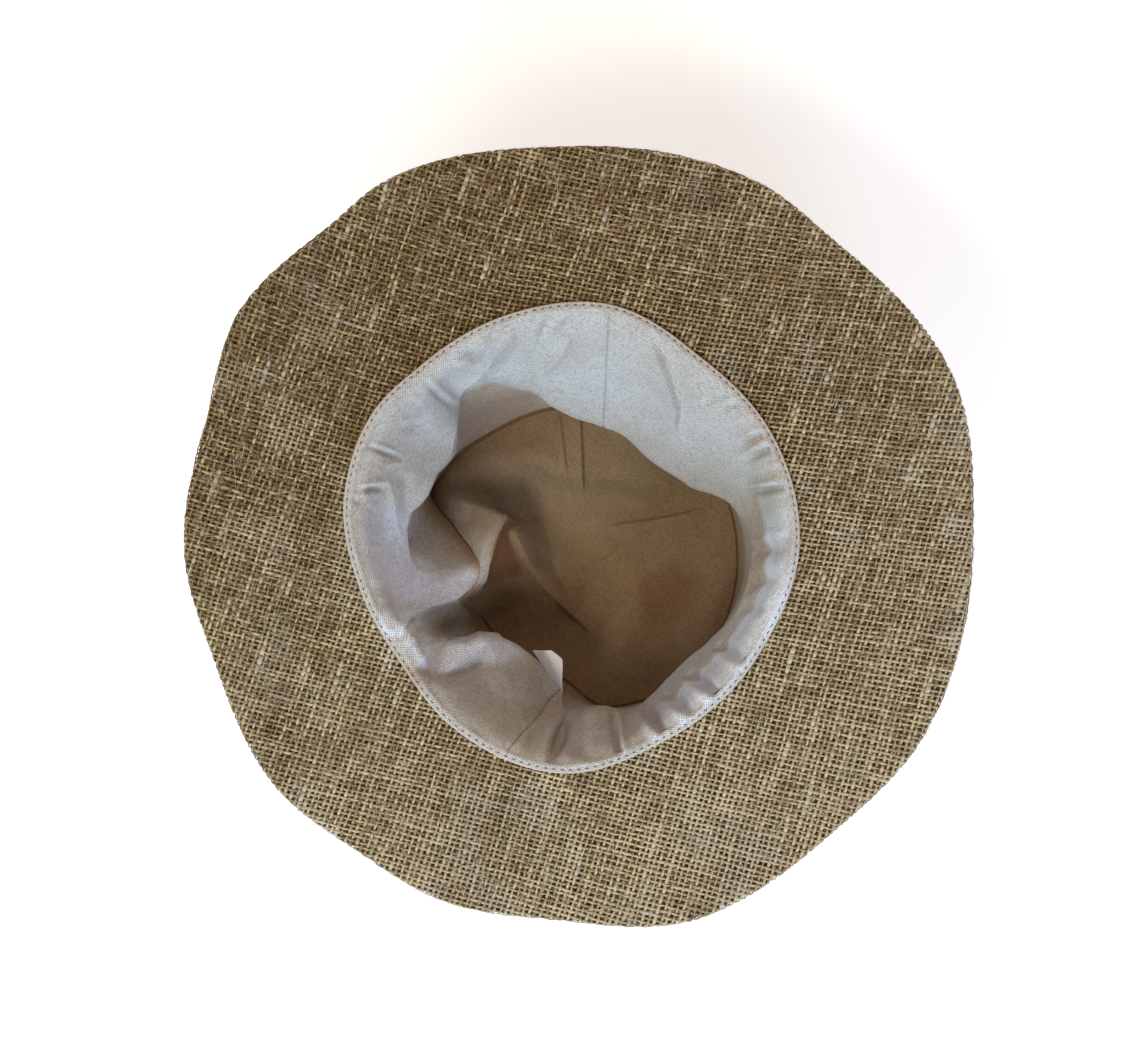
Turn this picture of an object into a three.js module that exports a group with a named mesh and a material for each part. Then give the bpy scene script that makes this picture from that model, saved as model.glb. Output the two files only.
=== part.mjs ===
// A soft jute sun hat with a cotton lining, lying upside down on the tip of its crown.
// Units are millimetres, +Z is up, and the floor is z = 0. The hat's head opening faces up.
//
// Every layer of the crown follows one surface: the face of the lining that looks into the
// hollow. It is lofted through closed rings, from the lining's sewn edge on the brim down
// the wall and over the tip to its middle. Each ring is a short table of angle, radius and
// height, so that dents and folds are rows in it. The jute lies behind the lining.

import * as THREE from 'three';

// ---------------------------------------------------------------- driving dimensions

const CROWN_DEPTH = 95;
const LINING_THICKNESS = 1.0;
const JUTE_THICKNESS = 1.5;
const BRIM_PLY_THICKNESS = 1.3;
const GAP = 0.3;

const BRIM_EDGE_RISE = 4;
const BRIM_MEAN_RADIUS = 156.5;
const BRIM_WAVE_LIFT = 1.2;

const HEM_WIDTH = 3;
const TURN_WIDTH = 3;
const TURN_DROP = 1.5;
const SEAM_GAP = 0.35;

const AROUND = 72;
const BRIM_RINGS = 3;

const OPENING_CENTRE = new THREE.Vector2(-2.6, -1.2);
const TIP_CENTRE = new THREE.Vector2(4.0, -11.8);

// What lies between the floor and the lining's face on the flat part of the tip.
const FLOOR_FACE = LINING_THICKNESS + GAP + JUTE_THICKNESS;

// ---------------------------------------------------------------- rings

// Angles are degrees, anticlockwise from +X, seen from above.

const BRIM_OUTLINE = {
  columns: ['angle', 'radius'],
  rows: [
    [0, 156.5], [22, 160], [50, 155], [62, 156.7], [92, 154.6], [119, 159], [129, 157.2],
    [146, 160], [164, 155], [182, 156.5], [199, 153.7], [220, 156.3], [236, 153.8],
    [250, 155.3], [265, 153.7], [287, 158.7], [311, 155.5], [330, 158],
  ],
};

// Where the lining's folded edge lies on the brim.
const LINING_EDGE = {
  columns: ['angle', 'radius'],
  rows: [
    [0, 90], [28, 89], [52, 87.5], [83, 93.5], [105, 91.8], [130, 90.5], [149, 93],
    [170, 91.4], [193, 85.6], [214, 80.5], [238, 85.5], [268, 93], [295, 88], [329, 87],
  ],
};

// The crest of the slumped wall, where it stands out furthest into the hollow.
const FOLD = {
  columns: ['angle', 'radius', 'height'],
  rows: [
    // right-hand wall and the long fold over the upper right
    [2, 74, 50], [16, 69, 40], [34, 54.5, 30], [52, 50.7, 30], [70, 55, 30], [91, 58.4, 32],
    // upper-left pocket
    [101, 64.5, 36], [108, 73.5, 42], [127, 84, 58], [141, 69.5, 50],
    // left wall, above the dent
    [160, 66, 60], [174, 72, 60], [190, 70, 61], [203, 74, 67],
    // side pocket and the lip below it
    [209, 76.5, 80], [214, 75.5, 75], [219, 71, 68], [223, 59.5, 60], [227, 50.5, 53],
    [238, 49, 49], [249, 51.3, 46], [257, 56.5, 43], [262, 61.5, 43],
    // notch beside the label, and the bottom wall
    [266, 73, 58], [270, 73.5, 63], [276, 69.3, 63], [288, 74, 60], [294, 70, 44],
    // lower-right wall
    [305, 66.2, 36], [315, 65.5, 35], [326, 68, 38], [340, 73, 48],
  ],
};

// The wall behind and below that crest.
const HOLLOW = {
  columns: ['angle', 'radius', 'height'],
  rows: [
    [0, 73, 20], [20, 71, 16], [45, 66, 10], [80, 66, 12], [108, 75, 18], [127, 78, 24],
    [141, 75, 26], [160, 76, 34], [176, 75, 42], [184, 69, 47], [190, 62, 53], [197, 60, 53],
    [203, 65, 56.5], [206, 66, 49], [209, 67, 39], [212, 66, 34], [219, 62, 30], [227, 56, 24],
    [245, 56, 18], [256, 60, 18], [264, 66, 28], [275, 68, 30], [290, 71, 22], [315, 68, 14],
  ],
};

// The seam between the wall and the tip. The dent on the left lifts it off the floor.
const TIP_SEAM = {
  columns: ['angle', 'radius', 'height'],
  rows: [
    [0, 70, 3.2], [30, 71, 3.2], [75, 70.5, 3.2], [120, 71.7, 3.2], [145, 75.5, 4],
    [156, 76, 8], [168, 58, 27], [180, 47, 39], [188, 44, 43.5], [194, 45.5, 43.5],
    [199, 50, 46], [203, 55.5, 48.5], [205.5, 55, 36], [208.5, 54, 20], [212, 54, 11],
    [228, 55, 5], [258, 56, 3.2], [279, 69, 3.2], [310, 71, 3.2],
  ],
};

// The tip just inside the seam, which on the left is the crest of the dent.
const DENT_CREST = {
  columns: ['angle', 'radius', 'height'],
  rows: [
    [0, 60, 2.8], [100, 60, 2.8], [135, 60, 2.8], [147, 54, 3], [151, 50, 4.5], [154, 42, 18],
    [156.5, 37.2, 36.5], [165, 38, 39], [175, 39.5, 41.5], [186, 40.7, 42.5], [193, 40.5, 36],
    [199, 42, 25], [204, 45, 20], [209, 45, 12], [215, 46, 7], [228, 47, 4], [240, 46, 3],
    [258, 46, 2.8], [285, 58, 2.8],
  ],
};

// The fold that runs from the dent's peak down over the tip.
const TIP_FOLD = {
  columns: ['angle', 'radius', 'height'],
  rows: [
    [0, 30, 2.8], [120, 30, 2.8], [138, 30, 2.8], [149, 30, 4.5], [155, 31.5, 10],
    [159, 32.5, 21], [164, 32, 29.5], [173, 28.7, 27], [189, 24.6, 19], [207, 22.5, 12],
    [225, 21.7, 7], [247, 24, 3.6], [270, 28, 2.8],
  ],
};

const TIP_MIDDLE_RADIUS = 15;

// A smooth closed curve through a table's rows: given an angle, one value for each column
// after the first. It never overshoots the rows.
function closedCurve({ rows }) {
  const count = rows.length;
  const angles = rows.map((row) => row[0]);
  angles.push(angles[0] + 360);
  const width = (k) => angles[k + 1] - angles[k];
  const value = (k, column) => rows[k % count][column];
  const slope = (k, column) => (value(k + 1, column) - value(k, column)) / width(k);
  const tangent = (k, column) => {
    const before = (k + count - 1) % count;
    const after = k % count;
    const left = slope(before, column);
    const right = slope(after, column);
    if (left * right <= 0) return 0;
    const a = width(before);
    const b = width(after);
    return (3 * (a + b)) / ((2 * b + a) / left + (b + 2 * a) / right);
  };
  return (angle) => {
    const turned = THREE.MathUtils.euclideanModulo(angle - angles[0], 360) + angles[0];
    let k = count - 1;
    while (k > 0 && angles[k] > turned) k -= 1;
    const x = (turned - angles[k]) / width(k);
    return rows[0].slice(1).map((_, i) => {
      const start = value(k, i + 1);
      const end = value(k + 1, i + 1);
      const startTangent = tangent(k, i + 1) * width(k);
      const endTangent = tangent(k + 1, i + 1) * width(k);
      const rise = x * x * (3 - 2 * x);
      const ease = x * (1 - x);
      return start + (end - start) * rise + ease * ((1 - x) * startTangent - x * endTangent);
    });
  };
}

const brimRadius = closedCurve(BRIM_OUTLINE);
const liningEdge = closedCurve(LINING_EDGE);
const fold = closedCurve(FOLD);
const hollow = closedCurve(HOLLOW);
const tipSeam = closedCurve(TIP_SEAM);
const dentCrest = closedCurve(DENT_CREST);
const tipFold = closedCurve(TIP_FOLD);

// ---------------------------------------------------------------- the crown's surface

// The rings that the surface passes through, from the lining's edge to the tip's middle.
const EDGE_RING = 0;
const HEM_RING = 1;
const FOLD_RING = 5;
const HOLLOW_RING = 6;
const SEAM_RING = 8;
const MIDDLE_RING = 13;

const between = (a, b, share) => [
  a[0] + (b[0] - a[0]) * share,
  a[1] + (b[1] - a[1]) * share,
];

// The section of the crown at one angle: a radius and a height for each ring.
function section(angle) {
  const edge = liningEdge(angle)[0];
  const hemFace = CROWN_DEPTH + LINING_THICKNESS + GAP;
  const crest = fold(angle);
  const behind = hollow(angle);
  const seam = tipSeam(angle);
  const dent = dentCrest(angle);
  return [
    [edge, hemFace],
    [edge - HEM_WIDTH, hemFace],
    between([edge - HEM_WIDTH - TURN_WIDTH, hemFace - TURN_DROP], crest, 0.08),
    between([edge - HEM_WIDTH, hemFace], crest, 0.5),
    between([edge - HEM_WIDTH, hemFace], crest, 0.86),
    crest,
    behind,
    between(behind, seam, 0.8),
    seam,
    between(seam, dent, 0.12),
    dent,
    tipFold(angle),
    [TIP_MIDDLE_RADIUS, FLOOR_FACE],
    [0, FLOOR_FACE],
  ];
}

// A centripetal Catmull-Rom curve through the section's rings, at a whole or part ring.
function onSection(rings, ring) {
  const last = rings.length - 1;
  const k = Math.min(Math.max(Math.floor(ring), 0), last - 1);
  const before = k > 0 ? rings[k - 1] : between(rings[1], rings[0], 2);
  const after = k + 2 <= last ? rings[k + 2] : [-rings[last - 1][0], rings[last - 1][1]];
  const points = [before, rings[k], rings[k + 1], after];
  const knots = [0];
  for (let i = 0; i < 3; i += 1) {
    const length = Math.hypot(points[i + 1][0] - points[i][0], points[i + 1][1] - points[i][1]);
    knots.push(knots[i] + Math.max(Math.sqrt(length), 0.01));
  }
  const t = knots[1] + (ring - k) * (knots[2] - knots[1]);
  const blend = (a, b, from, to) => between(a, b, (t - from) / (to - from));
  const a1 = blend(points[0], points[1], knots[0], knots[1]);
  const a2 = blend(points[1], points[2], knots[1], knots[2]);
  const a3 = blend(points[2], points[3], knots[2], knots[3]);
  const b1 = blend(a1, a2, knots[0], knots[2]);
  const b2 = blend(a2, a3, knots[1], knots[3]);
  return blend(b1, b2, knots[1], knots[2]);
}

// A point of the lining's face. The rings' centre drifts from the tip's to the opening's.
function facePoint(angle, ring) {
  const [radius, height] = onSection(section(angle), ring);
  const share = THREE.MathUtils.clamp(height / CROWN_DEPTH, 0, 1);
  const centre = TIP_CENTRE.clone().lerp(OPENING_CENTRE, share);
  const turn = THREE.MathUtils.degToRad(angle);
  return new THREE.Vector3(
    centre.x + radius * Math.cos(turn),
    centre.y + radius * Math.sin(turn),
    Math.max(height, FLOOR_FACE),
  );
}

// The face's direction there, out of the cloth and into the hollow.
function faceNormal(angle, ring) {
  if (ring <= HEM_RING || ring >= MIDDLE_RING) return new THREE.Vector3(0, 0, 1);
  const turnStep = 2.5;
  const ringStep = 0.2;
  const inner = Math.min(ring + ringStep, MIDDLE_RING - 0.05);
  const outer = Math.max(ring - ringStep, EDGE_RING);
  const along = facePoint(angle + turnStep, ring).sub(facePoint(angle - turnStep, ring));
  const down = facePoint(angle, inner).sub(facePoint(angle, outer));
  return down.cross(along).normalize().negate();
}

// A point that lies a given depth behind the face, never below the floor.
function behindFace(angle, ring, depth) {
  const point = facePoint(angle, ring);
  point.addScaledVector(faceNormal(angle, ring), -depth);
  return point.setZ(Math.max(point.z, FLOOR_FACE - depth));
}

// The same beside the tip's seam, half of the gap up the wall (-1) or in over the tip (1).
function besideSeam(angle, towards, depth) {
  const seam = facePoint(angle, SEAM_RING);
  const aside = facePoint(angle, SEAM_RING + towards * 0.2).sub(seam).setLength(SEAM_GAP / 2);
  const point = seam.add(aside).addScaledVector(faceNormal(angle, SEAM_RING), -depth);
  return point.setZ(Math.max(point.z, FLOOR_FACE - depth));
}

// ---------------------------------------------------------------- closed shells

function geometryFrom(points, triangles) {
  const geometry = new THREE.BufferGeometry();
  const numbers = points.flatMap((point) => point.toArray());
  geometry.setAttribute('position', new THREE.Float32BufferAttribute(numbers, 3));
  geometry.setIndex(triangles.flat());
  geometry.computeVertexNormals();
  return geometry;
}

// A closed shell of two faces and its edges. place(step, row, side) gives each point, with
// side 0 on the near face and 1 on the far one. A ring joins its last step to its first, and
// a capped shell's last row is one point on each face.
function shell({ steps, rows, place, ring = true, capped = false }) {
  const points = [];
  const index = new Map();
  const at = (step, row, side) => {
    const wrapped = capped && row === rows ? 0 : ring ? step % steps : step;
    const key = `${wrapped},${row},${side}`;
    if (!index.has(key)) {
      index.set(key, points.length);
      points.push(place(wrapped, row, side));
    }
    return index.get(key);
  };
  const triangles = [];
  const quad = (a, b, c, d) => {
    for (const triangle of [[a, b, c], [a, c, d]]) {
      if (new Set(triangle).size === 3) triangles.push(triangle);
    }
  };
  for (let step = 0; step < steps; step += 1) {
    for (let row = 0; row < rows; row += 1) {
      quad(at(step, row, 0), at(step + 1, row, 0), at(step + 1, row + 1, 0), at(step, row + 1, 0));
      quad(at(step, row, 1), at(step, row + 1, 1), at(step + 1, row + 1, 1), at(step + 1, row, 1));
    }
    quad(at(step, 0, 0), at(step, 0, 1), at(step + 1, 0, 1), at(step + 1, 0, 0));
    if (!capped) {
      quad(at(step, rows, 0), at(step + 1, rows, 0), at(step + 1, rows, 1), at(step, rows, 1));
    }
  }
  if (!ring) {
    for (let row = 0; row < rows; row += 1) {
      quad(at(0, row, 0), at(0, row + 1, 0), at(0, row + 1, 1), at(0, row, 1));
      quad(at(steps, row, 0), at(steps, row, 1), at(steps, row + 1, 1), at(steps, row + 1, 0));
    }
  }
  return geometryFrom(points, triangles);
}

// The rings at which a wall or a tip has a row of points.
const WALL_ROWS = [HEM_RING, 2, 3, 4, FOLD_RING, 5.5, HOLLOW_RING, 7];
const TIP_ROWS = [9, 10, 10.5, 11, 12, MIDDLE_RING];

// The lining's two side seams. The one that holds the label leans as it goes down the wall.
const TOP_SEAM_ANGLE = 80.5;
const LABEL_SEAM_AT_EDGE = 253.3;
const LABEL_SEAM_LEAN = 8.4;

const HALF_WAY = AROUND / 2;

// The angle of a column of points at a ring. Every layer shares these columns: the label's
// seam is column 0, and the top seam is the one half way round.
function columnAngle(column, ring) {
  const lean = LABEL_SEAM_LEAN * THREE.MathUtils.smoothstep(ring, HEM_RING, FOLD_RING);
  const labelSeam = LABEL_SEAM_AT_EDGE + lean;
  const share = (column % HALF_WAY) / HALF_WAY;
  if (column < HALF_WAY) return labelSeam - 360 + (TOP_SEAM_ANGLE + 360 - labelSeam) * share;
  if (column < AROUND) return TOP_SEAM_ANGLE + (labelSeam - TOP_SEAM_ANGLE) * share;
  return labelSeam;
}

const wallPoint = (angleAt, rows, row, depth) => (row < rows.length
  ? behindFace(angleAt(rows[row]), rows[row], depth)
  : besideSeam(angleAt(SEAM_RING), -1, depth));

function wallShell(near, far) {
  return shell({
    steps: AROUND,
    rows: WALL_ROWS.length,
    place: (step, row, side) => {
      const angleAt = (ring) => columnAngle(step, ring);
      return wallPoint(angleAt, WALL_ROWS, row, side ? far : near);
    },
  });
}

function tipShell(near, far) {
  return shell({
    steps: AROUND,
    rows: TIP_ROWS.length,
    capped: true,
    place: (step, row, side) => {
      const angle = columnAngle(step, SEAM_RING);
      const depth = side ? far : near;
      return row > 0 ? behindFace(angle, TIP_ROWS[row - 1], depth) : besideSeam(angle, 1, depth);
    },
  });
}

// One panel of the lining's wall, between the two side seams. Its end columns stand back
// from them by half of the gap.
function liningPanel(firstColumn) {
  const rows = [EDGE_RING, ...WALL_ROWS];
  const neighbour = { 0: 1, [HALF_WAY]: HALF_WAY - 1 };
  return shell({
    steps: HALF_WAY,
    rows: rows.length,
    ring: false,
    place: (step, row, side) => {
      const depth = side ? LINING_THICKNESS : 0;
      const pointAt = (column) => wallPoint((ring) => columnAngle(column, ring), rows, row, depth);
      const point = pointAt(firstColumn + step);
      if (!(step in neighbour)) return point;
      const inwards = pointAt(firstColumn + neighbour[step]).sub(point);
      return point.add(inwards.setLength(SEAM_GAP / 2));
    },
  });
}

// ---------------------------------------------------------------- brim

const BRIM_HOLE_INSET = HEM_WIDTH - GAP;

// The brim's upturned face. It rises gently to the edge, and lifts where it flares out.
function brimPoint(angle, share, depth) {
  const turn = THREE.MathUtils.degToRad(angle);
  const direction = new THREE.Vector2(Math.cos(turn), Math.sin(turn));
  const holeRadius = liningEdge(angle)[0] - BRIM_HOLE_INSET;
  const hole = OPENING_CENTRE.clone().addScaledVector(direction, holeRadius);
  const radius = brimRadius(angle)[0];
  const edge = direction.clone().multiplyScalar(radius);
  const place = hole.lerp(edge, share);
  const lift = BRIM_EDGE_RISE + BRIM_WAVE_LIFT * (radius - BRIM_MEAN_RADIUS);
  return new THREE.Vector3(place.x, place.y, CROWN_DEPTH + lift * share * share - depth);
}

function brimPly(near, far) {
  return shell({
    steps: AROUND,
    rows: BRIM_RINGS,
    place: (step, row, side) => {
      const share = 1 - row / BRIM_RINGS;
      return brimPoint(columnAngle(step, EDGE_RING), share, side ? far : near);
    },
  });
}

// ---------------------------------------------------------------- care label

const LABEL = {
  thickness: 0.5,
  clearance: 0.5,
  column: 0,
  topRing: 5.05,
  bottomRing: 5.65,
  topReach: new THREE.Vector3(0, 17.5, 1),
  bottomReach: new THREE.Vector3(-13, 20, -2),
  cornerCut: 0.25,
  columns: 5,
  rows: 6,
};

// The blank label stands out of the leaning seam, twisted so that its free end lies flatter.
function careLabel() {
  const angle = columnAngle(LABEL.column, FOLD_RING);
  const inFront = LABEL.clearance + LABEL.thickness / 2;
  const top = behindFace(angle, LABEL.topRing, -inFront);
  const bottom = behindFace(angle, LABEL.bottomRing, -inFront);
  return shell({
    steps: LABEL.columns,
    rows: LABEL.rows,
    ring: false,
    place: (step, row, side) => {
      const share = step / LABEL.columns;
      const cut = LABEL.cornerCut * Math.max(1 - share * 3, 0);
      const reach = (row / LABEL.rows) * (1 - cut);
      const length = LABEL.topReach.clone().lerp(LABEL.bottomReach, share);
      const topSide = top.clone().addScaledVector(LABEL.topReach, reach);
      const bottomSide = bottom.clone().addScaledVector(LABEL.bottomReach, reach);
      const normal = bottomSide.clone().sub(topSide).cross(length).normalize();
      const point = topSide.lerp(bottomSide, share);
      return point.addScaledVector(normal, LABEL.thickness * (0.5 - side));
    },
  });
}

// ---------------------------------------------------------------- assembly

const jute = new THREE.MeshStandardMaterial({ color: 0x8a7452, roughness: 0.95, metalness: 0 });
const cotton = new THREE.MeshStandardMaterial({ color: 0xb9afa0, roughness: 0.9, metalness: 0 });
const labelCloth = new THREE.MeshStandardMaterial({ color: 0xe6e2df, roughness: 0.7, metalness: 0 });

const hat = new THREE.Group();

function addPiece(name, geometry, material) {
  const mesh = new THREE.Mesh(geometry, material);
  mesh.name = name;
  hat.add(mesh);
}

const juteNear = LINING_THICKNESS + GAP;
const juteFar = juteNear + JUTE_THICKNESS;

addPiece('brim_under', brimPly(0, BRIM_PLY_THICKNESS), jute);
addPiece('brim_top', brimPly(BRIM_PLY_THICKNESS + GAP, 2 * BRIM_PLY_THICKNESS + GAP), jute);
addPiece('crown_side', wallShell(juteNear, juteFar), jute);
addPiece('crown_tip', tipShell(juteNear, juteFar), jute);
addPiece('lining_side_right', liningPanel(0), cotton);
addPiece('lining_side_left', liningPanel(HALF_WAY), cotton);
addPiece('lining_tip', tipShell(0, LINING_THICKNESS), cotton);
addPiece('care_label', careLabel(), labelCloth);

// The origin is the middle of the hat's footprint, on the floor.
const bounds = new THREE.Box3().setFromObject(hat);
const middle = bounds.getCenter(new THREE.Vector3());
hat.position.set(-middle.x, -middle.y, -bounds.min.z);

export default hat;
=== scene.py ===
"""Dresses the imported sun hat: jute yarns, cotton lining, stitches and label.

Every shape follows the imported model: the same rings, angles and depths, sampled more
finely. Lengths in the tables and classes are millimetres and angles are degrees,
anticlockwise from +X seen from above. Meshes are made in metres.
"""

import logging
import math
from dataclasses import dataclass, field
from enum import Enum
from typing import Any, Callable, Mapping, Optional, Sequence, Union

import bpy
import numpy as np
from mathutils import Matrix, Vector


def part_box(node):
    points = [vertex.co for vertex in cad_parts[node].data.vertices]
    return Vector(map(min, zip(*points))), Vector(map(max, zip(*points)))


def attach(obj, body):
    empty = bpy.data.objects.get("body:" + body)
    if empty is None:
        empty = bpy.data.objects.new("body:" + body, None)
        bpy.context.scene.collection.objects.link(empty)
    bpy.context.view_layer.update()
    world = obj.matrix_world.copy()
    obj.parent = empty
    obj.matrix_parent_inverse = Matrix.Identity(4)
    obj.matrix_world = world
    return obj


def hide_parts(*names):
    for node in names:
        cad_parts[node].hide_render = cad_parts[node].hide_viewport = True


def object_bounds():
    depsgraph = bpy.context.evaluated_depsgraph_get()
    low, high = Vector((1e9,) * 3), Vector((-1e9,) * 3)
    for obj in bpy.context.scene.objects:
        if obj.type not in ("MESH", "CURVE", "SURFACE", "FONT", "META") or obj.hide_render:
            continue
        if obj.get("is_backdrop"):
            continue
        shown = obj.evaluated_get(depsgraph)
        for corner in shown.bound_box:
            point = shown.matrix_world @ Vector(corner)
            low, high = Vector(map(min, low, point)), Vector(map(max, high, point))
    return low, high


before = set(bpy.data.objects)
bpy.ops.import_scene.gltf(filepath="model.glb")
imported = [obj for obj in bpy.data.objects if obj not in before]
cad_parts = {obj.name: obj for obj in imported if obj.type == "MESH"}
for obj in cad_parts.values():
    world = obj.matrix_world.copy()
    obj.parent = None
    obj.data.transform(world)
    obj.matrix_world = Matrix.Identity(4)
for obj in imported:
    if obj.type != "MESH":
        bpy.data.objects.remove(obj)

Array = np.ndarray
Colour = tuple[float, float, float]
Node = bpy.types.Node
Piece = bpy.types.Object
Socket = bpy.types.NodeSocket
Sockets = Mapping[str, bpy.types.NodeSocket]
Value = Union[Array, float]
Pairs = tuple[tuple[float, float], ...]

MM = 0.001
UP = np.array([0.0, 0.0, 1.0])
LOG = logging.getLogger("sun_hat")


# ---- tables and noise


@dataclass(frozen=True)
class RingTable:
    """A closed ring, given by a short table of angle and values."""

    columns: tuple[str, ...]
    rows: tuple[tuple[float, ...], ...]

    def at(self, angle: Array) -> Array:
        """Read the ring smoothly, without going past its rows.

        Args:
            angle: Angles in degrees, in any shape.

        Returns:
            One value for each column after the first, along a new last axis.
        """
        table = np.array(self.rows, float)
        knots = np.append(table[:, 0], table[0, 0] + 360.0)
        values = np.vstack([table[:, 1:], table[:1, 1:]])
        width = np.diff(knots)
        right = np.diff(values, axis=0) / width[:, None]
        left = np.roll(right, 1, axis=0)
        after = width[:, None]
        before = np.roll(width, 1)[:, None]
        with np.errstate(divide="ignore", invalid="ignore"):
            spread = (2 * after + before) / left + (after + 2 * before) / right
            tangent = np.where(left * right > 0, 3 * (before + after) / spread, 0.0)
        tangent = np.vstack([tangent, tangent[:1]])
        turned = np.mod(angle - knots[0], 360.0) + knots[0]
        k = np.clip(np.searchsorted(knots, turned, side="right") - 1, 0, len(width) - 1)
        x = ((turned - knots[k]) / width[k])[..., None]
        reach = width[k][..., None]
        rise = values[k] + (values[k + 1] - values[k]) * x * x * (3 - 2 * x)
        ends = (1 - x) * tangent[k] * reach - x * tangent[k + 1] * reach
        return rise + x * (1 - x) * ends


class SmoothNoise:
    """Seeded smooth noise between -1 and 1 on a lattice that repeats."""

    SIZE = 64

    def __init__(self, seed: int) -> None:
        """Fill the lattice from the seed."""
        self.values = np.random.default_rng(seed).uniform(-1, 1, (self.SIZE,) * 3)

    def at(self, x: Array, y: Array, z: Value = 0.5) -> Array:
        """Blend the lattice's values at points.

        Args:
            x: First coordinate, in lattice steps.
            y: Second coordinate.
            z: Third coordinate.

        Returns:
            The noise, in the shape that the coordinates share.
        """
        total = 0.0
        coordinates = np.broadcast_arrays(x, y, z)
        floors = [np.floor(c).astype(int) for c in coordinates]
        parts = [c - f for c, f in zip(coordinates, floors)]
        parts = [p * p * (3 - 2 * p) for p in parts]
        for corner in range(8):
            steps = [(corner >> axis) & 1 for axis in range(3)]
            index = tuple((f + s) % self.SIZE for f, s in zip(floors, steps))
            weight = 1.0
            for part, step in zip(parts, steps):
                weight = weight * (part if step else 1 - part)
            total = total + weight * self.values[index]
        return total


def smoothstep(value: Array, start: float, end: float) -> Array:
    """Rise smoothly from 0 at start to 1 at end."""
    x = np.clip((value - start) / (end - start), 0, 1)
    return x * x * (3 - 2 * x)


@dataclass(frozen=True)
class Window:
    """A stretch with soft ends: open from start to full, shut from fade to end."""

    start: float
    full: float
    fade: float = math.inf
    end: float = math.inf

    def at(self, value: Array) -> Array:
        """How far the window is open at each value, from 0 to 1."""
        opened = smoothstep(value, self.start, self.full)
        if math.isinf(self.end):
            return opened
        return opened * (1 - smoothstep(value, self.fade, self.end))


def bump(value: Array, middle: float, width: float) -> Array:
    """A soft bump of height 1 over the middle."""
    return np.exp(-((value - middle) / width) ** 2)


def pair(first: Value, second: Value) -> Array:
    """Pair two values along a new last axis."""
    return np.stack(np.broadcast_arrays(first, second), axis=-1)


def lengths(vectors: Array) -> Array:
    """The lengths of vectors along the last axis."""
    return np.linalg.norm(vectors, axis=-1)


def leftward(plan: Array) -> Array:
    """The direction to the left of each point on rows of plan points."""
    step = np.gradient(plan, axis=1)
    step = step / lengths(step)[..., None]
    return pair(-step[..., 1], step[..., 0])


# ---- the hat's form

BRIM_OUTLINE = RingTable(("angle", "radius"), (
    (0, 156.5), (22, 160), (50, 155), (62, 156.7), (92, 154.6), (119, 159), (129, 157.2),
    (146, 160), (164, 155), (182, 156.5), (199, 153.7), (220, 156.3), (236, 153.8),
    (250, 155.3), (265, 153.7), (287, 158.7), (311, 155.5), (330, 158)))

LINING_EDGE = RingTable(("angle", "radius"), (
    (0, 90), (28, 89), (52, 87.5), (83, 93.5), (105, 91.8), (130, 90.5), (149, 93),
    (170, 91.4), (193, 86.2), (214, 83.6), (238, 88.4), (268, 93), (295, 88), (329, 87)))

FOLD = RingTable(("angle", "radius", "height"), (
    (2, 74, 50), (16, 69, 40), (34, 54.5, 30), (52, 50.7, 30), (70, 55, 30),
    (91, 58.4, 32), (101, 64.5, 36), (108, 73.5, 42), (127, 84, 58), (141, 69.5, 50),
    (160, 66, 60), (174, 72, 60), (190, 70, 61), (203, 74, 67), (209, 76.5, 80),
    (214, 75.5, 75), (219, 71, 68), (223, 59.5, 60), (227, 50.5, 53), (238, 49, 49),
    (249, 51.3, 46), (257, 56.5, 43), (262, 61.5, 43), (266, 73, 58), (270, 73.5, 63),
    (276, 69.3, 63), (288, 74, 60), (294, 70, 44), (305, 66.2, 36), (315, 65.5, 35),
    (326, 68, 38), (340, 73, 48)))

HOLLOW = RingTable(("angle", "radius", "height"), (
    (0, 73, 20), (20, 71, 16), (45, 66, 10), (80, 66, 12), (108, 75, 18), (127, 78, 24),
    (141, 75, 26), (160, 76, 34), (176, 75, 42), (184, 69, 47), (190, 62, 53),
    (197, 60, 53), (203, 65, 56.5), (206, 66, 49), (209, 67, 39), (212, 66, 34),
    (219, 62, 30), (227, 56, 24), (245, 56, 18), (256, 60, 18), (264, 66, 28),
    (275, 68, 30), (290, 71, 22), (315, 68, 14)))

TIP_SEAM = RingTable(("angle", "radius", "height"), (
    (0, 70, 3.2), (30, 71, 3.2), (75, 70.5, 3.2), (120, 71.7, 3.2), (145, 75.5, 4),
    (156, 76, 8), (168, 58, 27), (180, 47, 39), (188, 44, 43.5), (194, 45.5, 43.5),
    (199, 50, 46), (203, 55.5, 48.5), (205.5, 55, 36), (208.5, 54, 20), (212, 54, 11),
    (228, 55, 5), (258, 56, 3.2), (279, 69, 3.2), (310, 71, 3.2)))

DENT_CREST = RingTable(("angle", "radius", "height"), (
    (0, 60, 2.8), (100, 60, 2.8), (135, 60, 2.8), (147, 54, 3), (151, 50, 4.5),
    (154, 42, 18), (156.5, 37.2, 36.5), (165, 38, 39), (175, 39.5, 41.5),
    (186, 40.7, 42.5), (193, 40.5, 36), (199, 42, 25), (204, 45, 20), (209, 45, 12),
    (215, 46, 7), (228, 47, 4), (240, 46, 3), (258, 46, 2.8), (285, 58, 2.8)))

TIP_FOLD = RingTable(("angle", "radius", "height"), (
    (0, 30, 2.8), (120, 30, 2.8), (138, 30, 2.8), (149, 30, 4.5), (155, 31.5, 10),
    (159, 32.5, 21), (164, 32, 29.5), (173, 28.7, 27), (189, 24.6, 19), (207, 22.5, 12),
    (225, 21.7, 7), (247, 24, 3.6), (270, 28, 2.8)))


class Ring(float, Enum):
    """The rings that the crown's surface passes through."""

    EDGE = 0.0
    HEM = 1.0
    FOLD = 5.0
    HOLLOW = 6.0
    SEAM = 8.0
    MIDDLE = 13.0


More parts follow.
